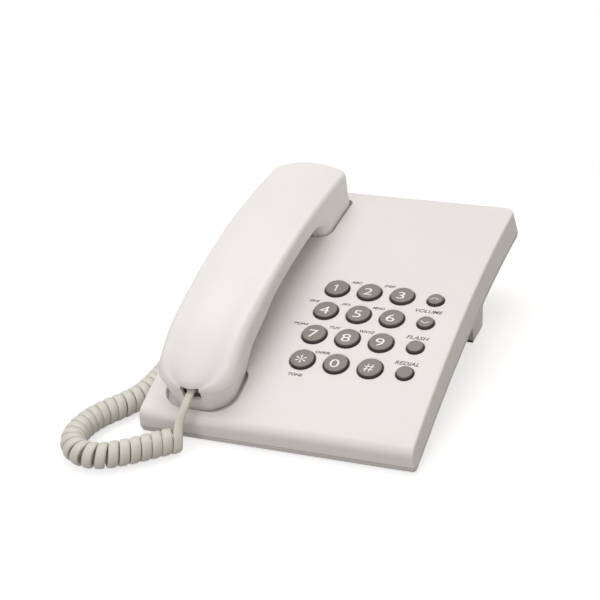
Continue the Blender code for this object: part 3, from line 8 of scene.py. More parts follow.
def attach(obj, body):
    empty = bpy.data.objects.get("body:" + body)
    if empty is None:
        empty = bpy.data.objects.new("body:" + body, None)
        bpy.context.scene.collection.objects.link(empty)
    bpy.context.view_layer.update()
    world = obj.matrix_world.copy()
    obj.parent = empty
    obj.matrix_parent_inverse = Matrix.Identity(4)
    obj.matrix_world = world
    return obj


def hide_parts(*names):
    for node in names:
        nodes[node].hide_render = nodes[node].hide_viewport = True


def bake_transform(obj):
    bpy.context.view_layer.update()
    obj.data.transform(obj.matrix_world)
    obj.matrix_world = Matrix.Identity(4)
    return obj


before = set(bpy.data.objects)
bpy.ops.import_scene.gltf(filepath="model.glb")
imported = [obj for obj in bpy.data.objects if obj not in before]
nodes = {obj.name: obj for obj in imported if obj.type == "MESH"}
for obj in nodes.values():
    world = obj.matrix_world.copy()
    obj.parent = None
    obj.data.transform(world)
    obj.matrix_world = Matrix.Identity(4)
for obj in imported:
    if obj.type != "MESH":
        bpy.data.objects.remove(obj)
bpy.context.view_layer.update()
scene = bpy.context.scene
mm = 0.001
print("model loaded:", len(nodes), "nodes")

# case and handset are drawn in millimetres on a sloping slab, X right, Y back along its top
slab = {
    "tilt": radians(21.5),
    "middle": 101.7,  # front bottom edge back to the origin, along the table
    "frontDepth": 14.0,
    "frontLift": 0.8,
    "topRadius": 635.0,  # long curve of the top
}


def slabMatrix():
    tilt, depth = slab["tilt"], slab["frontDepth"]
    rise = slab["frontLift"] + depth * cos(tilt)
    back = -slab["middle"] - depth * sin(tilt)
    place = Matrix.Translation((0, back * mm, rise * mm))
    return place @ Matrix.Rotation(tilt, 4, "X") @ Matrix.Scale(mm, 4)


toTable = slabMatrix()  # to metres on the table


def onTop(across, along, height=0.0):
    # a place on the curved top, turned to stand square on it
    radius = slab["topRadius"]
    turn, reach = along / radius, radius + height
    place = Matrix.Translation((across, reach * sin(turn), reach * cos(turn) - radius))
    return toTable @ place @ Matrix.Rotation(-turn, 4, "X")


# the photograph's view
view = {
    "place": (0.28431, -0.74180, 0.43547),
    "ahead": (-0.343, 0.8255, -0.4476),
    "up": (-0.114, 0.436, 0.893),
    "lens": 95.99,
}


def addObject(name, data):
    item = bpy.data.objects.new(name, data)
    scene.collection.objects.link(item)
    return item


def makeCamera():
    data = bpy.data.cameras.new("camera")
    data.lens = view["lens"]
    camera = addObject("camera", data)
    back = -Vector(view["ahead"]).normalized()
    up = Vector(view["up"])
    up = (up - back * up.dot(back)).normalized()
    turn = Matrix((up.cross(back), up, back)).transposed().to_4x4()
    camera.matrix_world = Matrix.Translation(view["place"]) @ turn
    scene.camera = camera


makeCamera()
print("camera set")

# finishes, with the scales of patterns in cells to the metre
noiseEnds = (0.3, 0.7)  # between which colour and roughness run


def feed(tree, node, inputs):
    # sets a node's inputs or, where the value is another node's output, links them
    for socket, value in inputs.items():
        if isinstance(value, bpy.types.NodeSocket):
            tree.links.new(value, node.inputs[socket])
        else:
            node.inputs[socket].default_value = value


def addNode(tree, kind, inputs, **settings):
    node = tree.nodes.new("ShaderNode" + kind)
    for name, value in settings.items():
        setattr(node, name, value)
    feed(tree, node, inputs)
    return node


def startMaterial(name, colour, roughness):
    material = bpy.data.materials.new(name + "Finish")
    material.use_nodes = True
    tree = material.node_tree
    shader = tree.nodes["Principled BSDF"]
    feed(tree, shader, {"Base Color": (*colour, 1), "Roughness": roughness})
    return material, tree, shader


def objectNoise(tree, scale, detail, stretch=(1, 1, 1)):
    place = addNode(tree, "TexCoord", {}).outputs["Object"]
    mapped = addNode(tree, "Mapping", {"Vector": place, "Scale": stretch}).outputs["Vector"]
    return addNode(tree, "TexNoise", {"Vector": mapped, "Scale": scale, "Detail": detail}).outputs["Fac"]


def mottle(tree, shader, colour, noise, change):
    ramp = addNode(tree, "ValToRGB", {"Fac": noise})
    for element, end, way in zip(ramp.color_ramp.elements, noiseEnds, (-1, 1)):
        element.position = end
        element.color = (*[min(1, c * (1 + way * change)) for c in colour], 1)
    feed(tree, shader, {"Base Color": ramp.outputs["Color"]})


def roughen(tree, shader, noise, low, high):
    ends = {"From Min": noiseEnds[0], "From Max": noiseEnds[1], "To Min": low, "To Max": high}
    mapped = addNode(tree, "MapRange", {"Value": noise, **ends}).outputs["Result"]
    feed(tree, shader, {"Roughness": mapped})


def grain(tree, shader, noise, strength, depth):
    bump = addNode(tree, "Bump", {"Height": noise, "Strength": strength, "Distance": depth * mm})
    feed(tree, shader, {"Normal": bump.outputs["Normal"]})


def mouldedPlastic(name, colour, roughness=0.45, change=0.012, size=0.35, depth=0.006,
                   clouds=28, sheen=120, spread=0.04, strength=0.35):
    # fine spark-eroded grain, its size in millimetres, and faint clouds in the colour
    material, tree, shader = startMaterial(name, colour, roughness)
    mottle(tree, shader, colour, objectNoise(tree, clouds, 4), change)
    roughen(tree, shader, objectNoise(tree, sheen, 3), roughness - spread, roughness + spread)
    grain(tree, shader, objectNoise(tree, 1 / mm / size, 2), strength, depth)
    return material


def brushedMetal(name, colour, roughness=(0.22, 0.3, 0.4), change=0.06, clouds=60, sheen=900,
                 scratches=1500, strength=0.2, depth=0.004, stretch=(1, 12, 1)):
    low, usual, high = roughness
    material, tree, shader = startMaterial(name, colour, usual)
    feed(tree, shader, {"Metallic": 1})
    mottle(tree, shader, colour, objectNoise(tree, clouds, 3), change)
    roughen(tree, shader, objectNoise(tree, sheen, 2, stretch), low, high)
    grain(tree, shader, objectNoise(tree, scratches, 2, stretch), strength, depth)
    return material


def clearPlastic(name, colour, roughness=0.12, spread=0.04, sheen=300, passes=0.9, index=1.58):
    material, tree, shader = startMaterial(name, colour, roughness)
    feed(tree, shader, {"Transmission Weight": passes, "IOR": index})
    roughen(tree, shader, objectNoise(tree, sheen, 2), roughness - spread, roughness + spread)
    return material


plastics = {
    # red, green, blue, roughness, clouding, size and depth of grain
    "shell": (0.803, 0.793, 0.782),
    # painted light: the handset's plastic is lighter than the case's, for the brighter light that falls on
    # it
    "handset": (0.85, 0.843, 0.838),
    "cover": (0.77, 0.754, 0.733, 0.52),
    "key": (0.205, 0.19, 0.17, 0.42, 0.02, 0.3),
    # painted shade: the keys' sides are darkened to show the shadow in the gap round each key
    "keySide": (0.06, 0.055, 0.05, 0.6, 0.02, 0.3),
    "digit": (0.93, 0.93, 0.92, 0.5, 0.01, 0.2, 0.003),
    "legend": (0.075, 0.07, 0.068, 0.5, 0.05, 0.2, 0.003),
    "cord": (0.685, 0.668, 0.618, 0.38, 0.02, 0.8, 0.012),
    "rubber": (0.035, 0.034, 0.033, 0.8, 0.15, 0.5, 0.03),
    "silicone": (0.42, 0.42, 0.40, 0.6, 0.03, 0.5, 0.02),
    "board": (0.05, 0.20, 0.09, 0.4, 0.25, 1.5, 0.03),
    "dark": (0.03, 0.03, 0.032, 0.45, 0.1),
}
finishes = {name: mouldedPlastic(name, row[:3], *row[3:]) for name, row in plastics.items()}
finishes["steel"] = brushedMetal("steel", (0.56, 0.55, 0.53))
finishes["clear"] = clearPlastic("clear", (0.40, 0.40, 0.39))
print("materials made:", len(finishes))


# ways of working out a shape
def clamp(value, low=0.0, high=1.0):
    return min(high, max(low, value))


def smoothShare(share):
    share = clamp(share)
    return share * share * (3 - 2 * share)


def arcDrop(distance, radius):
    # how far an arc has fallen at a distance from its peak
    return radius - sqrt(max(0.0, radius * radius - distance * distance))


def topLevel(y):
    return -arcDrop(y, slab["topRadius"])


def frontTurn(low, reach, steps):
    # stations evenly round a front corner
    return [low + reach * (1 - cos(pi / 2 * i / steps)) for i in range(steps + 1)]


def rearTurn(high, reach, steps):
    return [high - reach * (1 - sin(pi / 2 * i / steps)) for i in range(steps + 1)]


def cornerHalf(y, low, high, half, lowRound, highRound):
    # half the width at a station of a plan with round corners
    if y < low + lowRound:
        return half - lowRound + sqrt(max(0.0, lowRound ** 2 - (low + lowRound - y) ** 2))
    if y > high - highRound:
        return half - highRound + sqrt(max(0.0, highRound ** 2 - (y - high + highRound) ** 2))
    return half


def edgeArc(x, z, across, up, steps, low=0.0, high=pi / 2):
    # points round an edge, to its upright side at x from its level side at z
    angles = [low + (high - low) * step / steps for step in range(steps + 1)]
    return [(x - across * (1 - sin(angle)), z + up * (1 - cos(angle))) for angle in angles]


def mirrored(right, shared=0):
    # half an outline and its mirror image, less the points that both share
    return right + [(-x, z) for x, z in reversed(right[:len(right) - shared])]


def headings(line):
    return [(line[min(i + 1, len(line) - 1)] - line[max(i - 1, 0)]).normalized()
            for i in range(len(line))]


def evenPoints(points, spacing, fineSteps=24):
    # points at a steady spacing on a smooth curve through the given ones
    padded = [points[0] * 2 - points[1]] + points + [points[-1] * 2 - points[-2]]
    fine = []
    for a, b, c, d in zip(padded, padded[1:], padded[2:], padded[3:]):
        for step in range(fineSteps):
            t = step / fineSteps
            fine.append((b * 2 + (c - a) * t + (a * 2 - b * 5 + c * 4 - d) * t * t
                         + (b * 3 - a - c * 3 + d) * t ** 3) / 2)
    fine.append(points[-1])
    reach = [0.0]
    for first, second in zip(fine, fine[1:]):
        reach.append(reach[-1] + (second - first).length)
    count = max(2, round(reach[-1] / spacing))
    even, index = [], 0
    for step in range(count + 1):
        target = reach[-1] * step / count
        while index < len(reach) - 2 and reach[index + 1] < target:
            index += 1
        span = reach[index + 1] - reach[index]
        even.append(fine[index].lerp(fine[index + 1], min(1.0, (target - reach[index]) / span)))
    return even


def smoothThrough(knots, steps):
    # a curve through uneven knots, with as many points between each pair
    points = [Vector(knot) for knot in knots]
    spans = [max(0.0001, (b - a).length) ** 0.5 for a, b in zip(points, points[1:])]
    slopes = [(points[1] - points[0]) / spans[0]]
    for left, point, right, before, after in zip(points, points[1:], points[2:], spans, spans[1:]):
        slopes.append(((point - left) / before * after + (right - point) / after * before)
                      / (before + after))
    slopes.append((points[-1] - points[-2]) / spans[-1])
    curve = []
    for a, b, first, second, span in zip(points, points[1:], slopes, slopes[1:], spans):
        for step in range(steps):
            t = step / steps
            curve.append(a * (2 * t ** 3 - 3 * t * t + 1) + first * span * (t ** 3 - 2 * t * t + t)
                         + b * (3 * t * t - 2 * t ** 3) + second * span * (t ** 3 - t * t))
    return curve + [points[-1]]


# ways of making a piece
def weld(bm, distance):
    bmesh.ops.remove_doubles(bm, verts=bm.verts, dist=distance)


def bentGrid(columns, rows, place):
    # a flat grid whose points go where place(column, row) says
    bm = bmesh.new()
    bmesh.ops.create_grid(bm, x_segments=columns, y_segments=rows, size=0.5)
    for vert in bm.verts:
        column = round((vert.co.x + 0.5) * columns)
        row = round((vert.co.y + 0.5) * rows)
        vert.co = place(column, row)
    weld(bm, 0.000001)
    return bm


def closedGrid(columns, rows, place):
    bm = bentGrid(columns, rows, place)
    bmesh.ops.recalc_face_normals(bm, faces=bm.faces)
    return bm


def skin(rings, ends):
    # a closed surface through rings of points, drawn in to a point at each end
    rows = [[ends[0]] * len(rings[0]), *rings, [ends[1]] * len(rings[0])]
    return closedGrid(len(rings[0]) - 1, len(rows) - 1, lambda column, row: rows[row][column])


def turned(profile, steps=64):
    # a profile of (radius, height) points turned round Z
    bm = bmesh.new()
    verts = [bm.verts.new((radius, 0, height)) for radius, height in profile]
    edges = [bm.edges.new(pair) for pair in zip(verts, verts[1:])]
    bmesh.ops.spin(bm, geom=verts + edges, axis=(0, 0, 1), steps=steps, angle=2 * pi, use_merge=True)
    weld(bm, 0.0001)
    bmesh.ops.recalc_face_normals(bm, faces=bm.faces)
    return bm


def addShape(bm, shape):
    mesh = bpy.data.meshes.new("shape")
    shape.to_mesh(mesh)
    shape.free()
    bm.from_mesh(mesh)
    bpy.data.meshes.remove(mesh)


def addBox(bm, low, high):
    # a block between two corners on the slab
    verts = bmesh.ops.create_cube(bm, size=1)["verts"]
    bmesh.ops.scale(bm, vec=Vector(high) - Vector(low), verts=verts)
    bmesh.ops.translate(bm, vec=(Vector(low) + Vector(high)) / 2, verts=verts)
    bmesh.ops.transform(bm, matrix=toTable, verts=verts)


def addRod(bm, radius, low, high, place, steps):
    verts = bmesh.ops.create_cone(bm, cap_ends=True, segments=steps, radius1=radius,
                                  radius2=radius, depth=high - low)["verts"]
    bmesh.ops.translate(bm, vec=(0, 0, (low + high) / 2), verts=verts)
    bmesh.ops.transform(bm, matrix=place, verts=verts)


def meshObject(name, bm):
    mesh = bpy.data.meshes.new(name)
    bm.to_mesh(mesh)
    bm.free()
    return addObject(name, mesh)


def shapedMesh(item):
    # what its modifiers or its lettering make of it
    bpy.context.view_layer.update()
    return bpy.data.meshes.new_from_object(
        item.evaluated_get(bpy.context.evaluated_depsgraph_get()))


def settle(piece):
    shaped = shapedMesh(piece)
    piece.modifiers.clear()
    piece.data = shaped


def combine(piece, bm, operation="DIFFERENCE", folded=False):
    tool = meshObject("tool", bm)
    boolean = piece.modifiers.new("cut", "BOOLEAN")
    boolean.operation = operation
    boolean.solver = "EXACT"
    boolean.use_self = folded  # for a wall that folds into itself at a tight corner
    boolean.object = tool
    settle(piece)
    bpy.data.objects.remove(tool)


def paint(piece, finish):
    piece.data.materials.clear()
    piece.data.materials.append(finishes[finish])


def dress(piece, finish, angle):
    piece.data.shade_smooth()
    piece.data.set_sharp_from_angle(angle=radians(angle))
    paint(piece, finish)


def complete(piece, finish, body, *stands, angle=35):
    dress(piece, finish, angle)
    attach(piece, body)
    if stands:
        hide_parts(*stands)
    return piece


# the curly cord, a flat strap wound on edge, from the handset's plug to the case's side
cord = {
    "curlRadius": 5.5,  # middle of the strap from the coil's centreline
    "wireRadius": 1.45,
    "pitch": 5.55,
    "lift": 0.25,
    "start": radians(5),
    "stations": 32,  # along each turn
    "sides": 20,
    "squareness": 0.75,  # 1 for a round section
    "width": 5.35,
    "leadWidth": 4.3,  # where it runs straight to a plug
    "thickness": 2.8,
    "spare": 0.16,  # between neighbouring turns
    "route": ((-48.0, -15.4), (-55.4, -22.0), (-64.1, -29.9), (-72.0, -36.2), (-79.5, -40.4),
              (-87.5, -41.4), (-94.3, -38.6), (-99.3, -32.6), (-101.6, -25.0), (-101.7, -17.0),
              (-100.0, -8.6), (-96.0, 0.4), (-90.8, 9.4), (-86.8, 18.8), (-84.8, 29.0),
              (-84.5, 42.0), (-84.5, 56.0), (-84.5, 70.0), (-84.5, 84.0)),
    "handsetPlug": (-44.9, 10.2, 11.7),
    "plugReach": 5.0,  # straight out of the plug
    "lead": ((-45.8, -8.0, 22.8), (-47.0, -11.4, 18.2), (-47.9, -13.9, 14.6)),
    "leadSpacing": 1.0,
    "sidePlug": (-76.8, 112.0, 9.0),  # across, along, below the top
    "sideLead": ((-1, 7, 2), (-2, -3, -8), (-6, 0, -1)),  # from the last curl, bend and plug
    "easing": (9, 30),  # points each side of a kink, and how often they are eased
    "widthEasing": 12,
    "blendFrom": (-0.090, -0.060, 0.010),
    "blendTo": (-0.045, -0.115, 0.020),
}


def slabPoint(across, along, height):
    return toTable @ Vector((across, along, height)) / mm


def coilLine():
    up = Vector((0, 0, 1))
    radius, pitch = cord["curlRadius"], cord["pitch"]
    height = radius + cord["wireRadius"] + cord["lift"]
    middle = [Vector((x, y - slab["middle"], height)) for x, y in cord["route"]]
    turns = (len(evenPoints(middle, pitch / 8)) - 1) / 8  # to the nearest eighth
    centres = evenPoints(middle, pitch / cord["stations"])
    axes = headings(centres)
    coil = []
    for index, (centre, ahead) in enumerate(zip(centres, axes)):
        angle = 2 * pi * turns * index / (len(centres) - 1) + cord["start"]
        coil.append(centre + radius * (up * cos(angle) + up.cross(ahead) * sin(angle)))
    return coil, axes


def cordLine():
    # the strap's middle line and, beside it, the direction of its width
    coil, axes = coilLine()
    tilt, straight = slab["tilt"], 2 * cord["wireRadius"]
    start = slabPoint(*cord["handsetPlug"])
    out = Vector((0, -cos(tilt), -sin(tilt)))
    front = [start, start + out * straight, start + out * cord["plugReach"]]
    front += [Vector((x, y - slab["middle"], z)) for x, y, z in cord["lead"]]
    front = evenPoints(front + [coil[0]], cord["leadSpacing"])

    x, y, drop = cord["sidePlug"]
    end = slabPoint(x, y, topLevel(y) - drop)
    first, second, third = (Vector(step) for step in cord["sideLead"])
    back = [coil[-1], coil[-1] + first, end + third + second, end + third,
            end - Vector((straight, 0, 0)), end]
    back = evenPoints(back, cord["leadSpacing"])

    line = front[:-1] + coil + back[1:]
    joins = (len(front) - 1, len(front) - 2 + len(coil))
    frontWidth, backWidth = Vector((-1, 0, 0)), Vector((0, cos(tilt), sin(tilt)))
    widths = [frontWidth.lerp(axes[0], smoothShare(i / joins[0])) for i in range(joins[0])] + axes
    widths += [axes[-1].lerp(backWidth, smoothShare(i / (len(back) - 1)))
               for i in range(1, len(back))]
    near, times = cord["easing"]
    for join in joins:
        for _ in range(times):
            for index in range(join - near, join + near + 1):
                line[index] = (line[index] * 2 + line[index - 1] + line[index + 1]) / 4
    return line, widths, joins


def strapWidths(line, joins):
    # full width where there is room, less where neighbouring turns come close
    turn, spare = cord["stations"], cord["spare"]
    coiled = range(joins[0], joins[1] + 1)
    room = []
    for index, point in enumerate(line):
        near = [cord["width" if index in coiled else "leadWidth"] + spare]
        for other in (index - turn, index + turn):
            if index in coiled and other in coiled:
                near.append((line[other] - point).length)
        room.append(min(near) - spare)
    for _ in range(cord["widthEasing"]):
        eased = [(a + 2 * b + c) / 4 for a, b, c in zip(room, room[1:], room[2:])]
        room = [room[0]] + eased + [room[-1]]
    return room


def strapRing(point, along, flat, width):
    # a rounded rectangle round its middle line
    across = (flat - along * flat.dot(along)).normalized()
    out = along.cross(across)
    ring = []
    for side in range(cord["sides"] + 1):
        angle = 2 * pi * side / cord["sides"]
        u, v = (copysign(abs(part) ** cord["squareness"], part) for part in (cos(angle), sin(angle)))
        ring.append((point + across * (u * width / 2) + out * (v * cord["thickness"] / 2)) * mm)
    return ring


def makeCord():
    line, flats, joins = cordLine()
    rings = [strapRing(*facts) for facts in zip(line, headings(line), flats, strapWidths(line, joins))]
    strap = meshObject("curlyStrap", skin(rings, (line[0] * mm, line[-1] * mm)))
    dress(strap, "cord", 50)
    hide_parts("curly_cord")
    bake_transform(strap)


makeCord()

# the handset's two shells
handset = {
    "middle": -44.9, "front": 7.5, "rear": 197.5, "half": 22.4,
    "core": (100.0, 12.0),  # a point inside it, along and up
    "backRadius": 415.0, "backPeak": (28.0, 27.0),
    "rollFrom": 50.0, "rollRadius": 80.0, "noseRound": 2.5, "rearRound": 1.2,
    "crown": 3.0, "crownShare": 0.9,  # full where the half width is this share of the widest
    "mouthCorner": 15.0, "earCorner": 6.5,
    "partingLevel": 13.0, "partingDrop": 11.0, "gripDrop": 15.0,
    "mouthDepth": 2.7, "earDepth": 4.7,  # into the case's seats
    "lowerInset": 1.1, "earInset": 0.05, "lowerTaper": 0.1,
    "mouthEnd": 33.0, "riseEnd": 82.0, "gripEnd": 120.0, "earStart": 154.5,
    "earLean": 0.17, "earFillet": 7.0, "earFront": 7.0,  # its front corners, seen from above
    "earBlend": 5.0,  # height in which those fade into the grip
    "shoulderRound": (8.5, 3.0), "edgeRound": (3.0, 3.0),
    "leastRound": 0.8, "mostRound": 0.8,  # in millimetres, and as a share of the half width
    "wall": 2.0,
    "gap": (0.9, 0.14), "gapFade": 60.0,  # of the seam, at the mouth end and past the fade
    "stations": (26.0, 4.0, 30),  # from, step and number, between the two ends' own
    "earStep": 4.2,
    "screws": (62.0, 128.0), "receiver": 176.0, "microphone": 27.0,
    "hole": 0.9, "holeRing": 5.0, "screwHole": 2.9, "holeReach": (-2.0, 4.0),
    "port": (10.4, 6.0, 15.4), "portReach": (-4.0, 4.8),  # width, low, high
}


def backLevel(y):
    return handset["backPeak"][1] - arcDrop(y - handset["backPeak"][0], handset["backRadius"])


def shoulderLevel(y):
    roll = max(0.0, handset["rollFrom"] - y)
    nose = handset["noseRound"]
    curl = clamp(handset["front"] + nose - y, 0.0, nose)
    return backLevel(y) - roll * roll / (2 * handset["rollRadius"]) - arcDrop(curl, nose)


def partingLevel(y):
    return min(handset["partingLevel"], backLevel(y) - handset["partingDrop"])


def seamGap(y):
    wide, narrow = handset["gap"]
    return wide + (narrow - wide) * smoothShare((y - handset["mouthEnd"]) / handset["gapFade"])


def undersideLevel(y):
    grip = backLevel(y) - handset["gripDrop"]
    mouthFloor, earFloor = topLevel(y) - handset["mouthDepth"], topLevel(y) - handset["earDepth"]
    mouth, ear, fillet = handset["mouthEnd"], handset["earStart"], handset["earFillet"]
    if y <= mouth:
        return mouthFloor
    if y < handset["riseEnd"]:
        share = (y - mouth) / (handset["riseEnd"] - mouth)
        return mouthFloor + (grip - mouthFloor) * sin(share * pi / 2)
    if y <= ear - fillet:
        return grip
    if y < ear:
        share = (y - ear + fillet) / fillet
        return grip + (earFloor - grip) * (1 - sqrt(max(0.0, 1 - share * share)))
    return earFloor


def handsetEnds(lower):
    if lower:
        return handset["front"] + handset["lowerInset"], handset["rear"] - handset["earInset"]
    return handset["front"], handset["rear"]


def crossSection(y, lower):
    # half width at the shoulder and at the base, bottom, top, shoulder's and edge's rounding
    low, high = handsetEnds(lower)
    grip = handset["gripEnd"]
    share = clamp((y - grip) / (handset["earStart"] - grip))
    inset = taper = 0.0
    if lower:
        inset = handset["lowerInset"] + (handset["earInset"] - handset["lowerInset"]) * share
        taper = handset["lowerTaper"] * (1 - share)
    half = cornerHalf(y, low, high, handset["half"] - inset, handset["mouthCorner"], handset["earCorner"])
    wide, narrow = handset["shoulderRound"]
    shoulder = wide + (narrow - wide) * min(1.0, y / grip)
    belly = clamp((y - handset["mouthEnd"]) / grip)
    edge = handset["edgeRound"][0] + handset["edgeRound"][1] * sin(pi * belly)
    end = max(0.0, y - high + handset["rearRound"])
    top = shoulderLevel(y) - arcDrop(end, handset["rearRound"])
    bottom = undersideLevel(y)
    least, most = handset["leastRound"], half * handset["mostRound"]
    return (half, half - taper * (top - bottom), bottom, top,
            clamp(shoulder, least, most), clamp(edge, least, most))


def edgeAngle(bottom, edge, level):
    # where the seam meets the rounded lower edge
    return acos(clamp((bottom + edge - level) / edge))


def shoulderAngle(top, shoulder, level):
    return asin(clamp((level - top + shoulder) / shoulder))


def upperHalfSection(y):
    # right half of the upper shell's outline, from the seam up to the crown
    half, base, bottom, top, shoulder, edge = crossSection(y, False)
    crown = handset["crown"] * min(1.0, half / handset["half"] / handset["crownShare"])
    level = partingLevel(y) + seamGap(y) / 2
    first = shoulderAngle(top, shoulder, level)
    if bottom + edge > level:
        knots = edgeArc(base, bottom, edge, edge, 2, edgeAngle(bottom, edge, level))
    else:
        rise = max(0.0, top - shoulder - level)
        reach = half - shoulder * (1 - cos(first))
        knots = [(reach, level + rise * share) for share in (0.0, 0.3, 0.6)]
    for angle in (first + (pi / 2 - first) * step / 3 for step in range(4)):
        knots.append((half - shoulder * (1 - cos(angle)), top - shoulder * (1 - sin(angle))))
    flat = half - shoulder
    knots += [(flat * share, top + crown * (1 - share * share)) for share in (0.65, 0.3)]
    return [(x, max(z, level)) for x, z in knots]


def earNarrow(y, z):
    # the ear block's front corners are rounded, below the grip
    ear, corner = handset["earStart"], handset["earFront"]
    if y < ear - handset["earFillet"]:
        return 1.0
    back = clamp(y - ear, 0.0, corner)
    depth = smoothShare((backLevel(y) - handset["gripDrop"] - z) / handset["earBlend"])
    return 1 - depth * arcDrop(corner - back, corner) / handset["half"]


def lowerHalfSection(y, sideSteps=9):
    # right half of the lower shell's outline, from the seam down to the middle of its floor
    half, base, bottom, top, shoulder, edge = crossSection(y, True)
    level = min(partingLevel(y) - seamGap(y) / 2, top)
    angle = edgeAngle(bottom, edge, level)
    start = bottom + edge
    brim, wallTop = max(start, level), max(start + 0.001, top - shoulder)
    points = []
    for step in range(sideSteps):
        height = brim + (start - brim) * step / sideSteps
        if height > wallTop:
            reach = half - shoulder * (1 - cos(shoulderAngle(top, shoulder, height)))
        elif level > start:
            reach = base + (half - base) * (height - start) / (wallTop - start)
        else:
            reach, height = edgeArc(base, bottom, edge, edge, 1, angle, angle)[0]
        points.append((reach, height))
    points += edgeArc(base, bottom, edge, edge, 10, angle, 0.0)
    flat = base - edge
    points += [(flat * share, bottom) for share in (0.75, 0.5, 0.25, 0.0)]
    return [(x * earNarrow(y, z), z) for x, z in points]


def handsetStations(lower):
    low, high = handsetEnds(lower)
    ear, fillet, corner = handset["earStart"], handset["earFillet"], handset["earFront"]
    first, step, count = handset["stations"]
    mouth = frontTurn(low, handset["mouthCorner"], 16)
    middle = [first + step * i for i in range(count)]
    hollow = [ear - fillet * cos(pi / 2 * i / 14) for i in range(15)]
    block = frontTurn(ear, corner, 8)[1:] + [ear + corner + handset["earStep"] * i for i in range(1, 7)]
    return mouth + middle + hollow + block + rearTurn(high, handset["earCorner"], 10)


def leanBack(x, y, z):
    ear = handset["earStart"]
    share = clamp((y - ear) / (handset["rear"] - ear))
    return Vector((handset["middle"] + x, y + handset["earLean"] * share * (z - topLevel(y)), z))


def handsetSkin(lower):
    stations = handsetStations(lower)
    rings = []
    for y in stations:
        if lower:
            section = mirrored([Vector(point) for point in lowerHalfSection(y)], 1)
        else:
            section = smoothThrough(mirrored(upperHalfSection(y)), 4)
        rings.append([toTable @ leanBack(x, y, z) for x, z in section])
    way = -1 if lower else 1
    ends = [toTable @ leanBack(0.0, y, partingLevel(y) + seamGap(y) / 2 * way)
            for y in (stations[0], stations[-1])]
    return skin(rings, ends)


def outwards(bm, centre):
    # turns an open skin so that most of it faces away from a point
    facing = sum(face.calc_area() * face.normal.dot(face.calc_center_median() - centre)
                 for face in bm.faces)
    if facing < 0:
        bmesh.ops.reverse_faces(bm, faces=bm.faces)
    return bm


def portTool():
    tool = bmesh.new()
    x, (width, low, high) = handset["middle"], handset["port"]
    front, back = (handset["front"] + reach for reach in handset["portReach"])
    addBox(tool, (x - width / 2, front, low), (x + width / 2, back, high))
    return tool


def undersideTools():
    # the holes for the receiver, the microphone and the two screws
    tools = bmesh.new()
    ring, radius = handset["holeRing"], handset["hole"]
    spots = [(0.0, 0.0)] + [(ring * cos(pi / 3 * i), ring * sin(pi / 3 * i)) for i in range(6)]
    holes = [(u, handset["receiver"] + v, radius, 20) for u, v in spots]
    holes.append((0.0, handset["microphone"], radius, 24))
    holes += [(0.0, y, handset["screwHole"], 24) for y in handset["screws"]]
    for across, y, size, steps in holes:
        low, high = (undersideLevel(y) + reach for reach in handset["holeReach"])
        place = toTable @ Matrix.Translation((handset["middle"] + across, y, 0))
        addRod(tools, size, low, high, place, steps)
    return tools


def makeHandset():
    centre = toTable @ Vector((handset["middle"], *handset["core"]))
    for half, lower in (("Upper", False), ("Lower", True)):
        shell = meshObject("handset" + half + "Shell", outwards(handsetSkin(lower), centre))
        solidify = shell.modifiers.new("wall", "SOLIDIFY")
        solidify.thickness = handset["wall"] * mm
        solidify.offset = -1
        settle(shell)
        combine(shell, portTool(), folded=not lower)
        if lower:
            combine(shell, undersideTools())
        complete(shell, "handset", "handset", "handset_%s_shell" % half.lower(), angle=40)
    print("handset made")


makeHandset()

# the keys, turned caps with printed marks, and the words beside them on the case
keypad = {
    "rows": (108.0, 88.7, 69.3, 49.9), "columns": (0.25, 19.0, 37.8), "smallColumn": 56.6,
    "radius": 6.45, "smallRadius": 4.3,
    "proud": 1.8, "rounding": 0.7, "dome": 0.12,
    "under": -2.5, "flange": (1.2, 0.9),  # top, width and thickness of the hidden flange
    "digitHeight": 5.7, "digitStretch": 1.42, "digitWeight": -0.004, "digitPlace": (-0.27, -1.0),
    "signStretch": 1.15, "hashScale": 0.95,  # of the star and the hash, and of the hash
    "one": (((-1.35, 1.95), (0.6, 2.85), (0.6, -2.85)), ((-1.35, 1.2), (-0.1, 1.8), (-0.1, -2.85))),
    "chevron": (2.3, 1.7, 0.5),  # half width, rise and stroke
    "chevronShifts": ((-0.3, -0.4), (-0.2, -1.0)),
    "wordSlant": 0.25,
    "marks": "123456789*0#",
    "smallNames": ("key_volume_up", "key_volume_down", "key_flash", "key_redial"),
    "inkLift": 0.02, "inkDepth": 0.03,
}
words = {
    # by height and weight, and then across, along and width of each
    (1.9, 0.028): {
        "ABC": (9.3, 115.6, 6.6), "DEF": (28.5, 115.7, 6.4), "GHI": (-8.9, 96.1, 5.8),
        "JKL": (9.4, 96.0, 5.8), "MNO": (28.1, 96.1, 6.8), "PQRS": (-9.8, 76.5, 8.4),
        "TUV": (9.7, 76.6, 6.4), "WXYZ": (27.8, 76.4, 8.6), "OPER": (9.2, 56.9, 8.2),
        "TONE": (-0.1, 39.1, 8.2)},
    (2.6, 0.012): {
        "VOLUME": (55.7, 98.5, 15.4), "FLASH": (55.8, 76.8, 12.4), "REDIAL": (55.7, 57.2, 13.2)},
}


def keyPlaces():
    places = [(x, row, keypad["radius"]) for row in keypad["rows"] for x in keypad["columns"]]
    return places + [(keypad["smallColumn"], row, keypad["smallRadius"]) for row in keypad["rows"]]


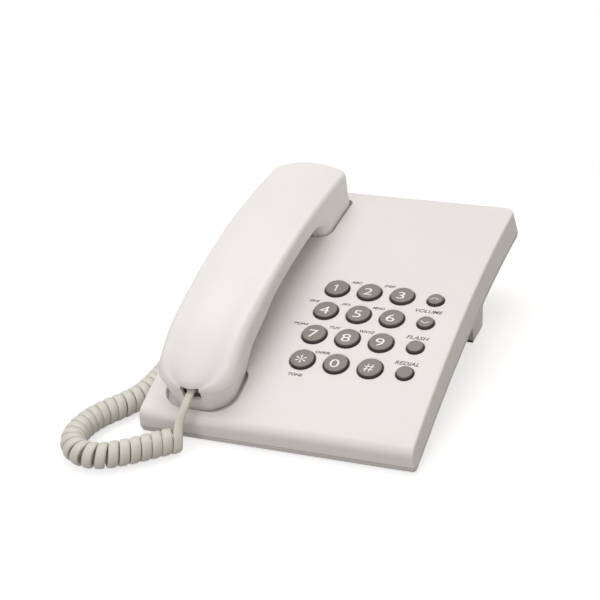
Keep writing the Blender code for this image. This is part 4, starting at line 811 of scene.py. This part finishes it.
def addText(bm, place, text, height, weight, width=0.0, stretch=1.0, slant=0.0):
    # flat lettering round its own middle, as wide as asked or else stretched
    curve = bpy.data.curves.new("lettering", "FONT")
    curve.body = text
    curve.shear = slant
    curve.offset = weight
    curve.resolution_u = 6
    holder = addObject("lettering", curve)
    mesh = shapedMesh(holder)
    bpy.data.objects.remove(holder)
    low = [min(v.co[i] for v in mesh.vertices) for i in (0, 1)]
    high = [max(v.co[i] for v in mesh.vertices) for i in (0, 1)]
    scale = height / (high[1] - low[1])
    across = width / (high[0] - low[0]) if width else scale * stretch
    middle = Matrix.Translation((-(low[0] + high[0]) / 2, -(low[1] + high[1]) / 2, 0))
    mesh.transform(Matrix.Diagonal((across, scale, 1, 1)) @ middle)
    mesh.transform(place)
    bm.from_mesh(mesh)
    bpy.data.meshes.remove(mesh)


def thicken(bm, place):
    # flat lettering becomes a thin closed film
    weld(bm, 0.0000005)
    made = bmesh.ops.extrude_face_region(bm, geom=bm.faces[:])
    lifted = [item for item in made["geom"] if isinstance(item, bmesh.types.BMVert)]
    rise = place.col[2].xyz * keypad["inkDepth"]
    bmesh.ops.translate(bm, vec=rise, verts=lifted)
    bmesh.ops.recalc_face_normals(bm, faces=bm.faces)


def makeMark(name, bm, place):
    thicken(bm, place)
    complete(meshObject(name.replace("key_", "mark_"), bm), "digit", name + "_body")


def capProfile(radius):
    top, rounding, under = keypad["proud"], keypad["rounding"], keypad["under"]
    reach, thick = keypad["flange"]
    shares = [step / 5 * (1 - rounding / radius) for step in range(6)]
    dome = [(radius * share, top - keypad["dome"] * share * share) for share in shares]
    return dome + edgeArc(radius, dome[-1][1], rounding, -rounding, 6)[1:] + [
        (radius, under), (radius + reach, under), (radius + reach, under - thick), (0.0, under - thick)]


def makeCap(name, across, along, radius):
    bm = turned(capProfile(radius))
    place = onTop(across, along)
    bm.transform(place)
    cap = complete(meshObject(name.replace("key_", "cap_"), bm), "key", name + "_body", name, angle=40)
    # the sides get a darker finish than the top, painted shade for the dark crescent in the gap round each
    # key
    cap.data.materials.append(finishes["keySide"])
    axis = place.col[2].xyz.normalized()
    for face in cap.data.polygons:
        if abs(face.normal.dot(axis)) < 0.5:
            face.material_index = 1


def makeChevron(name, across, along, way):
    # a wide thin arrowhead, in two arms
    half, rise, stroke = keypad["chevron"]

    def point(column, row):
        up = rise * (0.5 - abs(column - 1)) + stroke * (row - 0.5)
        return Vector((half * (column - 1), way * up, 0))

    bm = bentGrid(2, 1, point)
    place = onTop(across, along, keypad["proud"] + keypad["inkLift"])
    bm.transform(place)
    makeMark(name, bm, place)


def makeKeys():
    places = keyPlaces()
    for mark, (x, row, radius) in zip(keypad["marks"], places):
        name = "key_" + {"*": "star", "#": "hash"}.get(mark, mark)
        makeCap(name, x, row, radius)
        place = onTop(x, row, keypad["proud"] + keypad["inkLift"])
        middle = place @ Matrix.Translation((*keypad["digitPlace"], 0))
        bm = bmesh.new()
        if mark == "1":
            # a stem with a flag, which the built-in lettering's 1 barely has
            addShape(bm, bentGrid(2, 1, lambda i, j: middle @ Vector((*keypad["one"][j][i], 0))))
        else:
            height = keypad["digitHeight"] * (keypad["hashScale"] if mark == "#" else 1.0)
            stretch = keypad["signStretch" if mark in "*#" else "digitStretch"]
            addText(bm, middle, mark, height, keypad["digitWeight"], stretch=stretch)
        makeMark(name, bm, place)
    small = places[len(keypad["marks"]):]
    for name, (x, row, radius) in zip(keypad["smallNames"], small):
        makeCap(name, x, row, radius)
    for name, (x, row, _), (u, v), way in zip(keypad["smallNames"], small, keypad["chevronShifts"], (1, -1)):
        makeChevron(name, x + u, row + v, way)

    bm = bmesh.new()
    for (height, weight), places in words.items():
        for text, (across, along, width) in places.items():
            place = onTop(across, along, keypad["inkLift"])
            addText(bm, place, text, height, weight, width=width, slant=keypad["wordSlant"])
    thicken(bm, toTable)
    complete(meshObject("printedWords", bm), "legend", "base")
    print("keys and words made")


makeKeys()

# the case's two covers, with the cradle's hollows in the top one, and the stand
case = {
    "width": 150.0, "length": 207.0,
    "bottomRadius": 680.0, "bottomSlope": 0.04,
    "crease": 4.0,  # where the top rolls into the front face
    "sideRound": 1.2, "bottomRound": 0.3, "innerRound": 0.4, "leastCorner": 0.5,
    "skirt": 1.2, "frontSkirt": 2.4, "skirtReturn": 0.5, "frontReturn": 0.1,
    "chamfer": (1.0, 15.0),
    "frontCorner": 1.5, "rearCorner": 6.0,
    "seam": (3.1, 0.6),  # height of the band below it, and its width
    "pastSeam": 6.0,  # how far the inner cut runs on
    "wall": 2.2,
    "stations": (8.0, 198.0, 38),  # from, to and steps, between the two ends' own
    "holeGap": 0.8,  # round each key
    "rim": (0.5, 0.3),  # width and rounding of the ring round each key's hole
    "rimOverlap": 0.01,
    "seats": {
        "mouth": {"y": (6.2, 39.6), "half": 20.8, "depth": 4.2, "corners": (13.7, 9.0)},
        "ear": {"y": (153.4, 198.6), "half": 23.5, "depth": 5.0, "corners": (8.0, 5.0)},
    },
    "seatBlock": (25.7, 1.0),  # half width of the walls' block, and its top below the case's
    "cutTop": 12.0,  # height to which a seat is cut
    "keyCut": (-5.0, 3.0),
    "plunger": (160.5, 5.0, 2.75), "plungerCut": (-50.0, 0.0),
    "sidePort": (112.0, 9.0, 4.3, 3.3), "sideCut": (-90.0, -70.6),
    "lineJack": (44.5, 55.5), "lineJackDrop": (-8.2, -0.8), "jackRoom": (0.3, 0.5),
    "sliders": (2.0, 24.0), "sliderDrop": 8.0, "sliderHalf": (3.8, 1.5),
    "rearCut": (202.6, 212.0),
    "screws": (68.0, (24.0, 186.0)),
    "screwCup": (4.1, 0.5, 3.7),  # radius, low and high
    "screwBore": (2.9, 1.6, 2.2, 9.0),  # head, shank, the head's depth and the tool's reach
    "standRound": 0.6,
}


def caseFloor(y):
    rise, reach = case["chamfer"]
    chamfer = rise * clamp(1 - y / reach) ** 2
    return -slab["frontDepth"] - case["bottomSlope"] * y - arcDrop(y, case["bottomRadius"]) + chamfer


def seamLevel(y):
    return caseFloor(y) + case["seam"][0]


def leanOut(x, y, z, half, low, high):
    # the sides lean out down to the seam, and back in below it
    top, seam, bottom = topLevel(y), seamLevel(y), caseFloor(y)
    share = min(1.0, (top - z) / (top - seam))
    under = max(0.0, (seam - z) / (seam - bottom))
    frontShare = share - case["frontReturn"] * under
    share -= case["skirtReturn"] * under
    front = max(0.0, 1 - (y - low) / case["crease"])
    rear = max(0.0, 1 - (high - y) / case["rearCorner"])
    return Vector((x + case["skirt"] * share * x / half,
                   y + share * case["skirt"] * rear - frontShare * case["frontSkirt"] * front, z))


def lessInset(corner, inset):
    return max(case[corner] - inset, case["leastCorner"])


def caseRing(y, inset, upper):
    # a cross-section of the top or the bottom cover, from its seam round and back
    low, high = inset, case["length"] - inset
    crease = lessInset("crease", inset)
    half = cornerHalf(y, low, high, case["width"] / 2 - inset,
                      lessInset("frontCorner", inset), lessInset("rearCorner", inset))
    if upper:
        level = seamLevel(y) + (-case["pastSeam"] if inset else case["seam"][1])
        end = topLevel(y) - inset - arcDrop(max(0.0, low + crease - y), crease)
        rounding, way = case["innerRound" if inset else "sideRound"], 1
    else:
        level = seamLevel(y) + (case["pastSeam"] if inset else 0.0)
        end = caseFloor(y) + inset
        rounding, way = case["bottomRound"], -1
    start = end - way * rounding
    right = [(half, level + (start - level) * share) for share in (0.0, 0.35, 0.7)]
    for angle in (pi / 2 * step / 6 for step in range(7)):
        right.append((half - rounding * (1 - cos(angle)), start + way * rounding * sin(angle)))
    flat = half - rounding
    right += [(flat * share, end) for share in (0.97, 0.85, 0.6, 0.3)]
    ring = mirrored(right)
    return [leanOut(u, y, v, half, low, high) for u, v in ring + ring[:1]]


def caseBody(inset, upper):
    low, high = inset, case["length"] - inset
    first, last, steps = case["stations"]
    stations = frontTurn(low, lessInset("crease", inset), 10)
    stations += [first + (last - first) * i / steps for i in range(steps + 1)]
    stations += rearTurn(high, lessInset("rearCorner", inset), 10)
    rings = [caseRing(y, inset, upper) for y in stations]
    ends = [toTable @ ((ring[3] + ring[-5]) / 2) for ring in (rings[0], rings[-1])]
    return skin([[toTable @ point for point in ring] for ring in rings], ends)


def seatWalls(seat, steps=8):
    # a block under a hollow of the cradle, kept inside the case
    low, high = seat["y"][0] - case["wall"], seat["y"][1] + case["wall"]
    x, (half, below) = handset["middle"], case["seatBlock"]
    rings, ends = [], []
    for step in range(steps + 1):
        y = low + (high - low) * step / steps
        top, bottom = topLevel(y) - below, topLevel(y) - seat["depth"] - case["wall"]
        corners = ((-half, bottom), (half, bottom), (half, top), (-half, top), (-half, bottom))
        rings.append([toTable @ Vector((x + u, y, v)) for u, v in corners])
        ends.append(toTable @ Vector((x, y, (top + bottom) / 2)))
    return skin(rings, (ends[0], ends[-1]))


def seatPlan(seat, steps=12):
    # a hollow's outline, seen from above
    (low, high), (front, rear) = seat["y"], seat["corners"]
    stations = frontTurn(low, front, steps) + rearTurn(high, rear, steps)
    right = [(cornerHalf(y, low, high, seat["half"], front, rear), y) for y in stations]
    plan = mirrored(right)
    return [Vector((handset["middle"] + u, v)) for u, v in plan + plan[:1]]


def seatHollow(seat):
    plan = seatPlan(seat)
    middle = Vector((handset["middle"], sum(seat["y"]) / 2))

    def point(column, row):
        x, y = middle.lerp(plan[column], (0.0, 0.33, 0.66, 1.0, 1.0, 0.0)[row])
        return toTable @ Vector((x, y, topLevel(y) - seat["depth"] if row < 4 else case["cutTop"]))

    return closedGrid(len(plan) - 1, 5, point)


def openingTools():
    # for the keys, the plunger, the cord's jack, the line jack and the two sliders
    tools = bmesh.new()
    for x, row, radius in keyPlaces():
        hole = radius + case["holeGap"] + case["rim"][0] - case["rimOverlap"]
        addRod(tools, hole, *case["keyCut"], onTop(x, row), 64)
    x, (low, high) = handset["middle"], case["plungerCut"]
    along, halfX, halfY = case["plunger"]
    addBox(tools, (x - halfX, along - halfY, low), (x + halfX, along + halfY, high))
    along, drop, halfY, halfZ = case["sidePort"]
    middle, (left, right) = topLevel(along) - drop, case["sideCut"]
    addBox(tools, (left, along - halfY, middle - halfZ), (right, along + halfY, middle + halfZ))
    behind, above = case["jackRoom"]
    ceiling = topLevel(case["length"] - case["wall"] - behind) - case["wall"] - above
    (left, right), (low, high) = case["lineJack"], case["lineJackDrop"]
    front, back = case["rearCut"]
    addBox(tools, (left, front, ceiling + low), (right, back, ceiling + high))
    slot = topLevel(case["length"]) - case["sliderDrop"]
    halfX, halfZ = case["sliderHalf"]
    for x in case["sliders"]:
        addBox(tools, (x - halfX, front, slot - halfZ), (x + halfX, back, slot + halfZ))
    return tools


def makeTopCover():
    cover = meshObject("caseTop", caseBody(0.0, True))
    combine(cover, caseBody(case["wall"], True))
    for seat in case["seats"].values():
        combine(cover, seatWalls(seat), "UNION")
    for seat in case["seats"].values():
        combine(cover, seatHollow(seat))
    combine(cover, openingTools())
    complete(cover, "shell", "base", "base_top_cover")


def makeRims():
    # the rounded lip of each key's hole
    width, rounding = case["rim"]
    bm = bmesh.new()
    for x, row, radius in keyPlaces():
        inner = radius + case["holeGap"]
        outer = inner + width
        profile = [(outer, -case["wall"]), (outer, 0.0), (inner + rounding, 0.0)]
        profile += edgeArc(inner, 0.0, -rounding, -rounding, 6)[1:]
        ring = turned(profile + [(inner, -case["wall"]), (outer, -case["wall"])])
        for vert in ring.verts:
            vert.co.z += topLevel(vert.co.y)
        ring.transform(onTop(x, row))
        addShape(bm, ring)
    complete(meshObject("keyRims", bm), "shell", "base", angle=50)


def makeBottomCover():
    cover = meshObject("caseBottom", caseBody(0.0, False))
    combine(cover, caseBody(case["wall"], False))
    across, rows = case["screws"]
    radius, low, high = case["screwCup"]
    head, shank, depth, reach = case["screwBore"]
    profile = [(0, -reach), (head, -reach), (head, depth), (shank, depth), (shank, reach), (0, reach)]
    cups, bores = bmesh.new(), bmesh.new()
    for y in rows:
        for x in (-across, across):
            place = toTable @ Matrix.Translation((x, y, caseFloor(y)))
            addRod(cups, radius, low, high, place, 32)
            bore = turned(profile, 32)
            bore.transform(place)
            addShape(bores, bore)
    combine(cover, cups, "UNION")
    combine(cover, bores)
    complete(cover, "cover", "base", "base_bottom_cover")


def makeStand():
    # a copy of the model's own stand, its edges rounded
    bm = bmesh.new()
    bm.from_mesh(nodes["stand"].data)
    weld(bm, 0.000002)
    bmesh.ops.dissolve_limit(bm, angle_limit=radians(1.0), verts=bm.verts, edges=bm.edges)
    stand = meshObject("deskStand", bm)
    bevel = stand.modifiers.new("rounding", "BEVEL")
    bevel.width = case["standRound"] * mm
    bevel.segments = 3
    bevel.limit_method = "ANGLE"
    bevel.angle_limit = radians(40)
    settle(stand)
    complete(stand, "shell", "base", "stand")


makeTopCover()
makeRims()
makeBottomCover()
makeStand()
print("case made")

# what keeps the model's own mesh
carried = {
    "rubber": ("front_foot_right", "front_foot_left", "stand_pad_right", "stand_pad_left",
               "microphone_boot"),
    "silicone": ("keypad_rubber_mat",),
    "board": ("main_circuit_board",),
    "dark": ("hook_switch", "ringer_buzzer", "base_handset_jack", "line_jack", "ringer_switch_body",
             "dial_mode_switch_body", "receiver_capsule", "handset_jack"),
    "steel": (*(name % i for name in ("board_screw_%d", "case_screw_%d") for i in range(1, 5)),
              "handset_screw_1", "handset_screw_2", "ballast_plate", "microphone_capsule",
              "handset_weight"),
    "shell": ("hook_plunger", "ringer_switch_knob", "dial_mode_switch_knob"),
    "clear": ("plug_handset_end", "plug_base_end"),
}
for finish, names in carried.items():
    for name in names:
        paint(nodes[name], finish)
print("modelled pieces dressed")

# the plain floor and the studio's light
studio = {
    "world": 0.43,
    "worldTint": (1, 0.91, 0.82, 1),
    "lamps": {"keyLamp": ((-0.15, 0.30, 1.35), 9.2), "fillLamp": ((-0.1, -1.2, 0.75), 6.6)},
    "lampSize": 1.2,
    "aim": (0, 0, 0.04),
    "floorColour": (0.48, 0.48, 0.48, 1),
    "floorGlow": 0.68,
    "floorBounce": (0.29, 0.276, 0.255, 1),
    "fade": (0.15, 0.34),  # where the floor's shadow fades out, in metres
}


def seenRays(tree):
    # camera, mirror and glass rays
    rays = addNode(tree, "LightPath", {}).outputs
    seen = rays["Is Camera Ray"]
    for kind in ("Is Glossy Ray", "Is Transmission Ray"):
        seen = addNode(tree, "Math", {0: seen, 1: rays[kind]}, operation="MAXIMUM").outputs[0]
    return seen


def makeWorld():
    # it lights the object with its own strength and is seen as plain white
    world = bpy.data.worlds.new("studio")
    scene.world = world
    world.use_nodes = True
    tree = world.node_tree
    light = tree.nodes["Background"]
    feed(tree, light, {"Color": studio["worldTint"], "Strength": studio["world"]})
    white = addNode(tree, "Background", {"Color": (1, 1, 1, 1)})
    mix = addNode(tree, "MixShader", {0: seenRays(tree), 1: light.outputs[0], 2: white.outputs[0]})
    feed(tree, tree.nodes["World Output"], {"Surface": mix.outputs[0]})


def makeFloor():
    # its shadow fades into white, and what it throws back on the object is set apart
    bm = bmesh.new()
    bmesh.ops.create_grid(bm, x_segments=4, y_segments=4, size=3)
    floor = meshObject("floor", bm)
    material, tree, shader = startMaterial("floor", (1, 1, 1), 1)
    tree.nodes.remove(shader)
    paper = addNode(tree, "BsdfDiffuse", {"Color": studio["floorColour"]}).outputs[0]
    glow = addNode(tree, "Emission", {"Strength": studio["floorGlow"]}).outputs[0]
    white = addNode(tree, "Emission", {}).outputs[0]
    lit = addNode(tree, "AddShader", {0: paper, 1: glow}).outputs[0]
    place = addNode(tree, "TexCoord", {}).outputs["Object"]
    reach = addNode(tree, "VectorMath", {0: place}, operation="LENGTH").outputs["Value"]
    near, far = studio["fade"]
    fade = addNode(tree, "MapRange", {"Value": reach, "From Min": near, "From Max": far},
                   interpolation_type="SMOOTHSTEP").outputs["Result"]
    faded = addNode(tree, "MixShader", {0: fade, 1: lit, 2: white}).outputs[0]
    bounce = addNode(tree, "BsdfDiffuse", {"Color": studio["floorBounce"]}).outputs[0]
    seen = addNode(tree, "MixShader", {0: seenRays(tree), 1: bounce, 2: faded}).outputs[0]
    feed(tree, tree.nodes["Material Output"], {"Surface": seen})
    floor.data.materials.append(material)


def makeLamp(name, place, power):
    data = bpy.data.lights.new(name, "AREA")
    data.size = studio["lampSize"]
    data.energy = power
    turn = (Vector(studio["aim"]) - Vector(place)).to_track_quat("-Z", "Y").to_matrix().to_4x4()
    addObject(name, data).matrix_world = Matrix.Translation(place) @ turn


makeWorld()
makeFloor()
for name, (place, power) in studio["lamps"].items():
    makeLamp(name, place, power)
scene.view_settings.view_transform = "Standard"
print("studio made")
